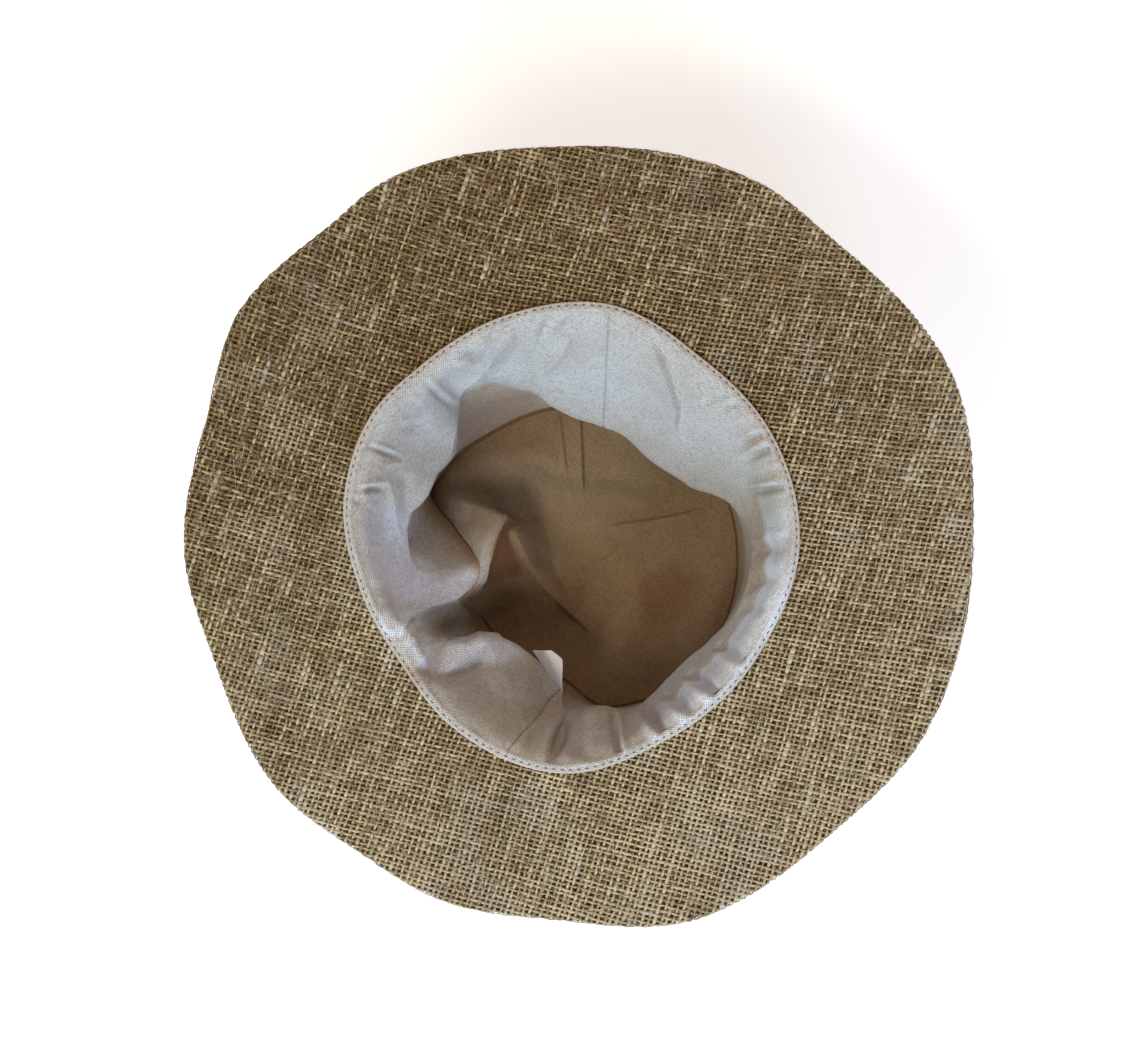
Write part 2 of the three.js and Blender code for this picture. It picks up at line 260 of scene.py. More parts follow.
@dataclass(frozen=True)
class HatSizes:
    """The sizes that drive the form, in millimetres and degrees."""

    crown_depth: float = 95.0
    lining: float = 1.0
    jute: float = 1.5
    brim_ply: float = 1.3
    gap: float = 0.3
    edge_rise: float = 4.0
    mean_radius: float = 156.5
    wave_lift: float = 1.2
    hem_width: float = 3.0
    turn_width: float = 3.0
    turn_drop: float = 1.5
    opening_centre: tuple[float, float] = (-2.6, -1.2)
    tip_centre: tuple[float, float] = (4.0, -11.8)
    tip_middle: float = 15.0
    top_seam: float = 80.5
    label_seam: float = 253.3
    label_seam_lean: float = 8.4

    @property
    def floor_face(self) -> float:
        """The height of the lining's face on the flat part of the tip."""
        return self.lining + self.gap + self.jute

    @property
    def hem_face(self) -> float:
        """The height of the lining's face where it lies on the brim."""
        return self.crown_depth + self.lining + self.gap

    @property
    def brim_thickness(self) -> float:
        """The thickness of the brim's two plies and what lies between them."""
        return 2 * self.brim_ply + self.gap


def towards(start: Array, end: Array, share: Value) -> Array:
    """Go a share of the way from one value to another."""
    return start + (end - start) * share


class HatForm:
    """The hat's folded shape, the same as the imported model's."""

    def __init__(self, sizes: HatSizes) -> None:
        """Keep the sizes, and find the shift from the tables' middle to the frame's."""
        self.sizes = sizes
        low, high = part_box("brim_under")
        turn = np.arange(0.0, 360.0, 0.5)
        outline = self.direction(turn) * BRIM_OUTLINE.at(turn)
        own = (outline.min(axis=0) + outline.max(axis=0)) / 2
        packed = np.array([low.x + high.x, low.y + high.y]) / 2 / MM
        self.shift = np.append(packed - own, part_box("crown_tip")[0].z / MM)

    @staticmethod
    def direction(angle: Array) -> Array:
        """The plan direction of each angle."""
        turn = np.radians(angle)
        return pair(np.cos(turn), np.sin(turn))

    def section(self, angle: Array) -> Array:
        """Cut the crown at angles.

        Args:
            angle: A row of angles in degrees.

        Returns:
            A radius and a height for each angle and ring.
        """
        size = self.sizes
        edge = LINING_EDGE.at(angle)[..., 0]
        hem = pair(edge - size.hem_width, size.hem_face)
        turn = pair(edge - size.hem_width - size.turn_width,
                       size.hem_face - size.turn_drop)
        crest, behind = FOLD.at(angle), HOLLOW.at(angle)
        seam, dent = TIP_SEAM.at(angle), DENT_CREST.at(angle)
        return np.stack([
            pair(edge, size.hem_face), hem, towards(turn, crest, 0.08),
            towards(hem, crest, 0.5), towards(hem, crest, 0.86), crest, behind,
            towards(behind, seam, 0.8), seam, towards(seam, dent, 0.12), dent,
            TIP_FOLD.at(angle),
            pair(np.full_like(edge, size.tip_middle), size.floor_face),
            pair(np.zeros_like(edge), size.floor_face)], axis=-2)

    @staticmethod
    def along_section(section: Array, ring: Array) -> Array:
        """Follow a centripetal Catmull-Rom curve through each section's rings.

        Args:
            section: A radius and a height for each point and ring.
            ring: A whole or part ring for each point.

        Returns:
            A radius and a height for each point.
        """
        rings = section.shape[-2]
        k = np.clip(np.floor(ring).astype(int), 0, rings - 2)
        first = towards(section[:, 1:2], section[:, :1], 2.0)
        last = section[:, -2:-1] * np.array([-1.0, 1.0])
        reach = np.concatenate([first, section, last], axis=1)
        own = np.arange(len(section))
        points = [reach[own, k + step] for step in range(4)]
        knots = [np.zeros(len(section))]
        for start, end in zip(points, points[1:]):
            length = lengths(end - start)
            knots.append(knots[-1] + np.maximum(np.sqrt(length), 0.01))
        t = knots[1] + (ring - k) * (knots[2] - knots[1])
        for order in (1, 2):
            points = [
                towards(points[i], points[i + 1],
                        ((t - knots[i]) / (knots[i + order] - knots[i]))[:, None])
                for i in range(4 - order)]
        share = (t - knots[1]) / (knots[2] - knots[1])
        return towards(points[0], points[1], share[:, None])

    def face(self, angle: Array, ring: Value) -> Array:
        """Place points of the lining's face that looks into the hollow.

        Args:
            angle: Angles in degrees.
            ring: A whole or part ring for each, or one for all.

        Returns:
            Points in millimetres, in the frame.
        """
        size = self.sizes
        angle, ring = np.broadcast_arrays(np.asarray(angle, float), ring)
        cut = self.along_section(self.section(angle.ravel()), ring.ravel().astype(float))
        height = np.maximum(cut[:, 1], size.floor_face)
        share = np.clip(cut[:, 1] / size.crown_depth, 0, 1)[:, None]
        centre = towards(np.array(size.tip_centre), np.array(size.opening_centre), share)
        plan = centre + self.direction(angle.ravel()) * cut[:, :1]
        return (np.column_stack([plan, height]) + self.shift).reshape(angle.shape + (3,))

    def normal(self, angle: Array, ring: Array) -> Array:
        """The direction out of the cloth and into the hollow, at points of the face."""
        turn_step, ring_step = 1.2, 0.1
        inner = np.minimum(ring + ring_step, Ring.MIDDLE - 0.05)
        outer = np.maximum(ring - ring_step, Ring.EDGE)
        along = self.face(angle + turn_step, ring) - self.face(angle - turn_step, ring)
        down = self.face(angle, inner) - self.face(angle, outer)
        normal = -np.cross(down, along)
        length = np.linalg.norm(normal, axis=-1, keepdims=True)
        normal = normal / np.maximum(length, 1e-9)
        flat = (ring <= Ring.HEM) | (ring >= Ring.MIDDLE - 0.06) | (length[..., 0] < 1e-9)
        return np.where(flat[..., None], np.array([0.0, 0.0, 1.0]), normal)

    def behind(self, angle: Array, ring: Array, depth: Value) -> Array:
        """Place points a depth behind the face, never below the floor.

        Args:
            angle: Angles in degrees.
            ring: A whole or part ring for each.
            depth: How far behind the face, in millimetres.

        Returns:
            Points in millimetres.
        """
        angle, ring = np.broadcast_arrays(np.asarray(angle, float), ring)
        depth = np.broadcast_to(np.asarray(depth, float), angle.shape)
        points = self.face(angle, ring) - self.normal(angle, ring) * depth[..., None]
        lowest = self.sizes.floor_face - depth + self.shift[2]
        points[..., 2] = np.maximum(points[..., 2], lowest)
        return points

    def label_seam_angle(self, ring: Array) -> Array:
        """The angle of the leaning seam at each ring."""
        lean = smoothstep(ring, Ring.HEM, Ring.FOLD)
        return self.sizes.label_seam + self.sizes.label_seam_lean * lean

    def brim_frame(self, plan: Array) -> tuple[Array, Array, Array]:
        """Find where plan points lie between the brim's hole and its outline.

        Args:
            plan: Plan points in millimetres, in the frame.

        Returns:
            The angle, the share from the hole to the outline, and how far each point
            is outside the outline.
        """
        centre = np.array(self.sizes.opening_centre)
        plan = plan - self.shift[:2]
        share = np.ones(plan.shape[:-1])
        for _ in range(4):
            offset = plan - centre * (1 - share[..., None])
            angle = np.degrees(np.arctan2(offset[..., 1], offset[..., 0]))
            radius = lengths(offset)
            hole = LINING_EDGE.at(angle)[..., 0] - self.sizes.hem_width + self.sizes.gap
            outline = BRIM_OUTLINE.at(angle)[..., 0]
            share = np.clip((radius - hole) / (outline - hole), -0.2, 1)
        return angle, share, radius - outline

    def brim_height(self, angle: Array, share: Array) -> Array:
        """The height of the brim's upturned face."""
        size = self.sizes
        radius = BRIM_OUTLINE.at(angle)[..., 0]
        lift = size.edge_rise + size.wave_lift * (radius - size.mean_radius)
        return size.crown_depth + lift * np.clip(share, 0, 1) ** 2 + self.shift[2]

    def brim_plan(self, angle: Array, share: Array) -> Array:
        """Plan points of the brim at angles and shares from its hole to its outline."""
        direction = self.direction(angle)
        inset = self.sizes.hem_width - self.sizes.gap
        hole = (np.array(self.sizes.opening_centre)
                + direction * (LINING_EDGE.at(angle) - inset))
        edge = direction * BRIM_OUTLINE.at(angle)
        return towards(hole, edge, share[..., None]) + self.shift[:2]

    def over_the_edge(self, plan: Array, lift: Array) -> Array:
        """Lay flat cloth on the upturned brim and round its turned edge.

        Args:
            plan: Where the cloth would lie if the brim went on outwards.
            lift: How far each point stands off the cloth's own face.

        Returns:
            Points in millimetres.
        """
        angle, share, outside = self.brim_frame(plan)
        roll = self.sizes.brim_thickness / 2
        height = self.brim_height(angle, share)
        turned = np.clip((outside + roll) / roll, 0, math.pi)
        under = np.maximum(outside + roll - math.pi * roll, 0)
        radial = np.where(
            outside < -roll, 0.0,
            (roll + lift) * np.sin(turned) - (outside + roll) - under)
        drop = np.where(outside < -roll, lift, (roll + lift) * np.cos(turned) - roll)
        points = plan + self.direction(angle) * radial[..., None]
        return np.concatenate([points, (height + drop)[..., None]], axis=-1)


# ---- meshes


def build_object(
    name: str, points: Array, faces: Sequence[Array], uv: Optional[Array] = None,
    values: Optional[Mapping[str, Array]] = None, facing: Optional[Array] = None,
) -> Piece:
    """Make a smooth mesh object.

    Args:
        name: The piece's name.
        points: Points in millimetres, in rows or in a grid.
        faces: Arrays of vertex numbers, each with one row for a face.
        uv: A pair of cloth coordinates for each point, in millimetres.
        values: Named numbers for each point.
        facing: A direction on the side that shows, for each point or for all.

    Returns:
        The object, linked to the scene.
    """
    mesh = bpy.data.meshes.new(name)
    points = points.reshape(-1, 3)
    if facing is not None:
        facing = np.broadcast_to(facing.reshape(-1, 3), points.shape)
        corners = points[faces[0][:, :3]]
        normal = np.cross(corners[:, 1] - corners[:, 0], corners[:, 2] - corners[:, 0])
        if (normal * facing[faces[0][:, 0]]).sum(axis=1).mean() < 0:
            faces = [part[:, ::-1] for part in faces]
    loops = np.concatenate([part.ravel() for part in faces])
    sizes = np.concatenate([np.full(len(part), part.shape[1]) for part in faces])
    mesh.vertices.add(len(points))
    mesh.vertices.foreach_set("co", (points * MM).ravel().astype(np.float32))
    mesh.loops.add(len(loops))
    mesh.loops.foreach_set("vertex_index", loops.astype(np.int32))
    mesh.polygons.add(len(sizes))
    starts = np.concatenate([[0], np.cumsum(sizes)[:-1]])
    mesh.polygons.foreach_set("loop_start", starts.astype(np.int32))
    if uv is not None:
        layer = mesh.uv_layers.new(name="cloth")
        uv = uv.reshape(-1, 2)[loops]
        layer.data.foreach_set("uv", uv.ravel().astype(np.float32))
    for label, numbers in (values or {}).items():
        attribute = mesh.attributes.new(label, "FLOAT", "POINT")
        attribute.data.foreach_set("value", np.asarray(numbers, np.float32).ravel())
    mesh.update(calc_edges=True)
    mesh.validate()
    mesh.shade_smooth()
    piece = bpy.data.objects.new(name, mesh)
    bpy.context.scene.collection.objects.link(piece)
    return piece


def grid_faces(rows: int, columns: int, closed: bool) -> Array:
    """Number the four corners of each cell in a grid of points."""
    row = np.arange(rows - 1)[:, None] * columns
    column = np.arange(columns if closed else columns - 1)[None]
    after = (column + 1) % columns
    corners = [row + column, row + after, row + columns + after, row + columns + column]
    return np.stack(corners, axis=-1).reshape(-1, 4)


def grid_normals(points: Array, closed: bool) -> Array:
    """Unit normals of a grid of points, pointing up where the first is level."""
    down = np.gradient(points, axis=0)
    if closed:
        across = (np.roll(points, -1, axis=1) - np.roll(points, 1, axis=1)) / 2
    else:
        across = np.gradient(points, axis=1)
    normal = np.cross(across, down)
    length = np.linalg.norm(normal, axis=-1, keepdims=True)
    normal = normal / np.maximum(length, 1e-9)
    return normal if normal[0, :, 2].mean() > 0 else -normal


def arc_lengths(points: Array) -> Array:
    """How far each point of a grid is down its own column."""
    steps = lengths(np.diff(points, axis=0))
    return np.vstack([np.zeros(points.shape[1]), np.cumsum(steps, axis=0)])


@dataclass(frozen=True)
class Belonging:
    """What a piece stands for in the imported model."""

    slot: str
    nodes: tuple[str, ...] = ()

    def join(self, piece: Piece) -> Piece:
        """Hang a piece on the hat's body, and hide the nodes that it stands for."""
        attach(piece, "root")
        if self.nodes:
            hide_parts(*self.nodes)
        count = sum(len(face.vertices) - 2 for face in piece.data.polygons)
        LOG.info("%s: %d triangles", piece.name, count)
        return piece


BRIM_UNDER = Belonging("jute", ("brim_under",))


# ---- shader nodes


class Canvas:
    """A node tree that is being wired."""

    def __init__(self, tree: bpy.types.NodeTree) -> None:
        """Keep the tree."""
        self.tree = tree

    def node(
        self, kind: str, inputs: Optional[Mapping[Any, Any]] = None, **settings: Any
    ) -> Node:
        """Add a node.

        Args:
            kind: The node's type.
            inputs: A value or a socket for each named or numbered input.
            settings: The node's own settings.

        Returns:
            The node.
        """
        node = self.tree.nodes.new(kind)
        for name, value in settings.items():
            setattr(node, name, value)
        for key, value in (inputs or {}).items():
            if isinstance(value, Socket):
                self.tree.links.new(value, node.inputs[key])
            else:
                node.inputs[key].default_value = value
        return node

    def math(self, operation: str, *values: Any, clamp: bool = False) -> Socket:
        """Add a Math node and return its output."""
        return self.node("ShaderNodeMath", dict(enumerate(values)),
                         operation=operation, use_clamp=clamp).outputs[0]

    def times(self, first: Any, second: Any) -> Socket:
        """Multiply two numbers."""
        return self.math("MULTIPLY", first, second)

    def plus(self, first: Any, second: Any, clamp: bool = False) -> Socket:
        """Add two numbers."""
        return self.math("ADD", first, second, clamp=clamp)

    def mix(self, factor: Any, first: Any, second: Any, blend: str = "MIX") -> Socket:
        """Mix two colours and return the result."""
        inputs = {key: (*value, 1.0) if isinstance(value, tuple) else value
                  for key, value in ((0, factor), (6, first), (7, second))}
        return self.node("ShaderNodeMix", inputs, data_type="RGBA",
                         blend_type=blend).outputs[2]

    def map_range(self, value: Any, span: tuple[Any, Any],
                  result: tuple[float, float] = (0.0, 1.0)) -> Socket:
        """Map a value smoothly from one span to another."""
        return self.node(
            "ShaderNodeMapRange",
            {0: value, 1: span[0], 2: span[1], 3: result[0], 4: result[1]},
            interpolation_type="SMOOTHSTEP").outputs[0]

    def noise(self, vector: Any, scale: Any, detail: float = 2.0,
              roughness: float = 0.55) -> Socket:
        """Add noise in three dimensions and return its factor."""
        return self.node("ShaderNodeTexNoise", {
            "Vector": vector, "Scale": scale, "Detail": detail,
            "Roughness": roughness}).outputs[0]

    def white_noise(self, dimensions: str, **inputs: Socket) -> Socket:
        """Add a random number for each place."""
        return self.node("ShaderNodeTexWhiteNoise", inputs,
                         noise_dimensions=dimensions).outputs["Value"]

    def attribute(self, name: str) -> Socket:
        """Read a named number of the mesh."""
        return self.node("ShaderNodeAttribute", attribute_name=name).outputs["Fac"]

    def cloth(self) -> Socket:
        """Read the cloth's own coordinates, in millimetres."""
        return self.node("ShaderNodeUVMap", uv_map="cloth").outputs[0]

    def place(self) -> Socket:
        """Read the place in the frame, in metres."""
        return self.node("ShaderNodeTexCoord").outputs["Object"]

    def group(self, kind: type["ShaderGroup"], **inputs: Any) -> Sockets:
        """Place a node group, its inputs named in lower case, and return its outputs."""
        named = {label.capitalize().replace("_", " "): value
                 for label, value in inputs.items()}
        return self.node("ShaderNodeGroup", named, node_tree=kind.tree()).outputs


class ShaderGroup:
    """A node group with named inputs and outputs, built once and shared."""

    NAME = "group"
    INPUTS: Mapping[str, float] = {}
    OUTPUTS: Sequence[str] = ()
    _built: dict[str, bpy.types.NodeTree] = {}

    @classmethod
    def tree(cls) -> bpy.types.NodeTree:
        """Return the group, building it the first time.

        Returns:
            The node group's tree.
        """
        if cls.NAME in cls._built:
            return cls._built[cls.NAME]
        tree = bpy.data.node_groups.new(cls.NAME, "ShaderNodeTree")
        add, number = tree.interface.new_socket, "NodeSocketFloat"
        add(name="Vector", in_out="INPUT", socket_type="NodeSocketVector")
        for name, default in cls.INPUTS.items():
            socket = add(name=name, in_out="INPUT", socket_type=number)
            socket.default_value = default
        for name in cls.OUTPUTS:
            add(name=name, in_out="OUTPUT", socket_type=number)
        canvas = Canvas(tree)
        entry = tree.nodes.new("NodeGroupInput")
        leave = tree.nodes.new("NodeGroupOutput")
        for name, socket in cls.wire(canvas, entry.outputs).items():
            tree.links.new(socket, leave.inputs[name])
        cls._built[cls.NAME] = tree
        return tree

    @classmethod
    def wire(cls, canvas: Canvas, inputs: Sockets) -> dict[str, Socket]:
        """Wire the group and return a socket for each output."""
        raise NotImplementedError


class PlainWeaveGroup(ShaderGroup):
    """Yarns that pass over and under each other, with open squares between them."""

    NAME = "plain_weave"
    INPUTS = {"Column spacing": 2.25, "Row spacing": 1.95, "Yarn share": 0.5,
              "Waver": 0.15}
    OUTPUTS = ("Height", "Opening", "Yarn tone", "Crossing tone")

    @classmethod
    def wire(cls, canvas: Canvas, inputs: Sockets) -> dict[str, Socket]:
        """Wire the weave.

        Args:
            canvas: The group's canvas.
            inputs: The group's inputs.

        Returns:
            The height of the weave, how open it is, a tone for each yarn, and a tone
            for each place where two yarns cross.
        """
        def waver(offset: float) -> Socket:
            """A slow sideways drift of the yarns."""
            moved = canvas.node("ShaderNodeVectorMath", {
                0: inputs["Vector"], 1: (offset, offset, offset)}).outputs[0]
            drift = canvas.math("SUBTRACT", canvas.noise(moved, 0.35, 1.0), 0.5)
            return canvas.times(drift, inputs["Waver"])

        parts = canvas.node("ShaderNodeSeparateXYZ", {0: inputs["Vector"]})
        columns, rows = [
            canvas.plus(canvas.math("DIVIDE", parts.outputs[axis], inputs[spacing]),
                        canvas.times(waver(17.0 * (axis + 1)), 4.0))
            for axis, spacing in enumerate(("Column spacing", "Row spacing"))]
        half = canvas.times(inputs["Yarn share"], 0.5)
        checker = canvas.times(*(
            canvas.math("SINE", canvas.times(place, math.pi))
            for place in (columns, rows)))
        heights, tones = [], []
        for place, sign, seed in ((columns, 0.3, 0.37), (rows, -0.3, 0.71)):
            centred = canvas.math("SUBTRACT", canvas.math("FRACT", place), 0.5)
            across = canvas.math("DIVIDE", centred, half)
            round_top = canvas.math("SQRT", canvas.math(
                "SUBTRACT", 1.0, canvas.times(across, across), clamp=True))
            wave = canvas.math("MULTIPLY_ADD", checker, sign, 0.7)
            heights.append(canvas.times(round_top, wave))
            number = canvas.plus(canvas.math("FLOOR", place), seed)
            tones.append(canvas.white_noise("1D", W=number))
        height = canvas.math("MAXIMUM", *heights)
        upper = canvas.math("GREATER_THAN", *heights)
        lower = canvas.math("SUBTRACT", 1.0, upper)
        tone = canvas.plus(canvas.times(upper, tones[0]), canvas.times(lower, tones[1]))
        opening = canvas.map_range(height, (0.12, 0.42), (1.0, 0.0))
        crossing = canvas.node("ShaderNodeCombineXYZ", {
            0: canvas.math("FLOOR", columns), 1: canvas.math("FLOOR", rows)}).outputs[0]
        speck = canvas.white_noise("2D", Vector=crossing)
        return {"Height": height, "Opening": opening, "Yarn tone": tone,
                "Crossing tone": speck}


class SpunFibreGroup(ShaderGroup):
    """The slanting fibres of a spun yarn, along its length."""

    NAME = "spun_fibre"
    INPUTS = {"Length": 3.0, "Fineness": 9.0, "Slant": 0.9}
    OUTPUTS = ("Height", "Tone")

    @classmethod
    def wire(cls, canvas: Canvas, inputs: Sockets) -> dict[str, Socket]:
        """Wire the fibres.

        Args:
            canvas: The group's canvas.
            inputs: The group's inputs.

        Returns:
            The fibres' height and tone.
        """
        parts = canvas.node("ShaderNodeSeparateXYZ", {0: inputs["Vector"]})
        slanted = canvas.plus(parts.outputs[1], canvas.times(
            parts.outputs[0], inputs["Slant"]))
        fibres = canvas.node("ShaderNodeCombineXYZ", {
            0: canvas.math("DIVIDE", parts.outputs[0], inputs["Length"]),
            1: canvas.times(slanted, inputs["Fineness"]),
            2: parts.outputs[2]}).outputs[0]
        return {"Height": canvas.noise(fibres, 1.0, 2.0),
                "Tone": canvas.noise(fibres, 0.4, 3.0, 0.65)}


class ClothCloudsGroup(ShaderGroup):
    """Soft patches where cloth has aged, been handled or been stained."""

    NAME = "cloth_clouds"
    INPUTS = {"Scale": 20.0, "Threshold": 0.5, "Softness": 0.15}
    OUTPUTS = ("Patches", "Drift")

    @classmethod
    def wire(cls, canvas: Canvas, inputs: Sockets) -> dict[str, Socket]:
        """Wire the patches.

        Args:
            canvas: The group's canvas.
            inputs: The group's inputs.

        Returns:
            A mask of patches, and a slow drift from 0 to 1.
        """
        cloud = canvas.noise(inputs["Vector"], inputs["Scale"], 4.0, 0.6)
        low, high = [
            canvas.math(side, inputs["Threshold"], inputs["Softness"])
            for side in ("SUBTRACT", "ADD")]
        patches = canvas.map_range(cloud, (low, high))
        slow = canvas.times(inputs["Scale"], 0.31)
        return {"Patches": patches, "Drift": canvas.noise(inputs["Vector"], slow, 2.0)}


@dataclass(frozen=True)
class Relief:
    """A finish's fine relief, with its reach in metres."""

    height: Socket
    reach: float
    strength: float


Look = tuple[Socket, Optional[Relief]]


@dataclass(frozen=True)
class Finish:
    """A finish that is equally rough, glossy and soft all over."""

    name: str
    roughness: float
    specular: float
    sheen: float = 0.0
    sheen_roughness: float = 0.5
    glow: Colour = (1.0, 1.0, 1.0)
    glow_strength: float = 0.0

    def material(self) -> bpy.types.Material:
        """Build the material.

        Returns:
            The material, with its colour and relief wired to its shader.
        """
        material = bpy.data.materials.new(self.name)
        material.use_nodes = True
        shader = material.node_tree.nodes["Principled BSDF"]
        for label, value in (
                ("Roughness", self.roughness),
                ("Specular IOR Level", self.specular),
                ("Sheen Weight", self.sheen),
                ("Sheen Roughness", self.sheen_roughness),
                ("Emission Color", (*self.glow, 1.0)),
                ("Emission Strength", self.glow_strength)):
            shader.inputs[label].default_value = value
        canvas = Canvas(material.node_tree)
        colour, relief = self.wire(canvas)
        canvas.tree.links.new(colour, shader.inputs["Base Color"])
        if relief:
            raised = canvas.node("ShaderNodeBump", {
                "Height": relief.height, "Distance": relief.reach,
                "Strength": relief.strength}).outputs[0]
            canvas.tree.links.new(raised, shader.inputs["Normal"])
        return material

    def wire(self, canvas: Canvas) -> Look:
        """Wire the colour, and the relief if the finish has one."""
        raise NotImplementedError


@dataclass(frozen=True)
class JuteColours:
    """The colours of natural jute, as linear light."""

    pale: Colour = (0.638, 0.50, 0.298)
    tan: Colour = (0.257, 0.172, 0.073)
    brown: Colour = (0.085, 0.050, 0.020)
    golden: Colour = (0.200, 0.098, 0.032)
    # The gap colour is painted shade in the weave's openings.
    gap: Colour = (0.038, 0.022, 0.009)
    grey: Colour = (0.52, 0.46, 0.37)
    fibre: Colour = (0.62, 0.55, 0.42)


JUTE = JuteColours()


@dataclass(frozen=True)
class JuteFinish(Finish):
    """What the finishes of jute yarn and jute cloth share."""

    patch_share: float = 0.16

    @staticmethod
    def clouds(canvas: Canvas) -> Sockets:
        """Place the patches where the jute has aged."""
        return canvas.group(ClothCloudsGroup, vector=canvas.place(), scale=34.0,
                            threshold=0.56, softness=0.12)

    @staticmethod
    def toned(canvas: Canvas, tone: Socket, pale: tuple[float, float]) -> Socket:
        """Go from brown over tan to pale with a tone from 0 to 1.

        Args:
            canvas: The material's canvas.
            tone: The tone.
            pale: The tones between which tan turns pale.

        Returns:
            The colour.
        """
        colour = canvas.mix(canvas.map_range(tone, (0.0, 0.55)), JUTE.brown, JUTE.tan)
        return canvas.mix(canvas.map_range(tone, pale), colour, JUTE.pale)

    def patched(self, canvas: Canvas, clouds: Sockets, colour: Socket) -> Socket:
        """Brown the patches a little."""
        patches = canvas.times(clouds["Patches"], self.patch_share)
        return canvas.mix(patches, colour, JUTE.brown)


@dataclass(frozen=True)
class JuteYarnFinish(JuteFinish):
    """Loose jute yarn: uneven tan, pale slubs, golden stains and slanting fibres."""

    name: str = "jute_yarn"
    roughness: float = 0.85
    specular: float = 0.22
    fibre_height: float = 0.00012

    def wire(self, canvas: Canvas) -> Look:
        """Wire the yarn.

        Args:
            canvas: The material's canvas.

        Returns:
            The colour and the relief of its fibres.
        """
        fibre = canvas.group(SpunFibreGroup, vector=canvas.cloth())
        clouds = self.clouds(canvas)
        # The tone attribute carries painted shade and highlight on the yarns, and painted
        # window light towards the lower right.
        tone = canvas.plus(canvas.attribute("tone"), canvas.math(
            "MULTIPLY_ADD", fibre["Tone"], 0.7, -0.35), clamp=True)
        drift = canvas.math("MULTIPLY_ADD", clouds["Drift"], 0.36, -0.18)
        tone = canvas.plus(tone, drift, clamp=True)
        colour = self.toned(canvas, tone, (0.40, 1.0))
        stain = canvas.times(canvas.attribute("stain"), 0.62)
        colour = self.patched(canvas, clouds, canvas.mix(stain, colour, JUTE.golden))
        # The slub attribute also greys the yarns towards the lower right, as painted
        # window light.
        colour = canvas.mix(canvas.attribute("slub"), colour, JUTE.grey)
        return colour, Relief(fibre["Height"], self.fibre_height, 0.9)


@dataclass(frozen=True)
class JuteClothFinish(JuteFinish):
    """Jute cloth as one sheet: an open plain weave in colour and relief, with painted
    shade.
    """

    name: str = "jute_cloth"
    roughness: float = 0.88
    specular: float = 0.2
    yarn_share: float = 0.62
    relief: float = 0.0006
    painted_opening_shade: float = 0.85

    def wire(self, canvas: Canvas) -> Look:
        """Wire the cloth.

        Args:
            canvas: The material's canvas.

        Returns:
            The colour and the relief of its weave.
        """
        cloth = canvas.cloth()
        weave = canvas.group(PlainWeaveGroup, vector=cloth, yarn_share=self.yarn_share,
                             waver=0.16)
        clouds = self.clouds(canvas)
        fine = canvas.noise(cloth, 1.4, 3.0, 0.65)
        tone = canvas.math("MULTIPLY_ADD", weave["Yarn tone"], 0.45, 0.28)
        tone = canvas.plus(tone, canvas.math("MULTIPLY_ADD", fine, 0.8, -0.4))
        # Painted shade and highlight: the weave's low places darker, its yarn tops
        # lighter.
        tone = canvas.plus(tone, canvas.math(
            "MULTIPLY_ADD", weave["Height"], 0.5, -0.38), clamp=True)
        colour = self.toned(canvas, tone, (0.45, 1.05))
        golden = canvas.map_range(canvas.noise(cloth, 0.16), (0.60, 0.72), (0.0, 0.6))
        colour = self.patched(canvas, clouds, canvas.mix(golden, colour, JUTE.golden))
        # Painted shade: the weave's openings darkened to the gap colour.
        gap = canvas.times(weave["Opening"], self.painted_opening_shade)
        colour = canvas.mix(gap, colour, JUTE.gap)
        height = canvas.plus(weave["Height"], canvas.times(fine, 0.25))
        return colour, Relief(height, self.relief, 1.0)


@dataclass(frozen=True)
class JuteShadeFinish(Finish):
    """A dark sheet under the open weave, seen between its yarns: cloth, darkened by
    painted shade.
    """

    name: str = "jute_shade"
    roughness: float = 0.95
    specular: float = 0.05

    def wire(self, canvas: Canvas) -> Look:
        """Wire the sheet, dark with painted shade, with browner patches."""
        cloth = canvas.cloth()
        weave = canvas.group(PlainWeaveGroup, vector=cloth, yarn_share=0.7, waver=0.3)
        patches = canvas.map_range(canvas.noise(cloth, 0.55, 3.0, 0.7), (0.38, 0.66))
        shade = canvas.times(weave["Height"], patches)
        colour = canvas.mix(patches, JUTE.gap, JUTE.brown)
        return (canvas.mix(shade, colour, JUTE.tan),
                Relief(weave["Height"], 0.0003, 0.6))


@dataclass(frozen=True)
class FibreFinish(Finish):
    """Fine pale fibres that stand off the jute."""

    name: str = "loose_fibre"
    roughness: float = 0.6
    specular: float = 0.3

    def wire(self, canvas: Canvas) -> Look:
        """Wire the fibres, from tan to pale."""
        return canvas.mix(canvas.attribute("tone"), JUTE.tan, JUTE.fibre), None


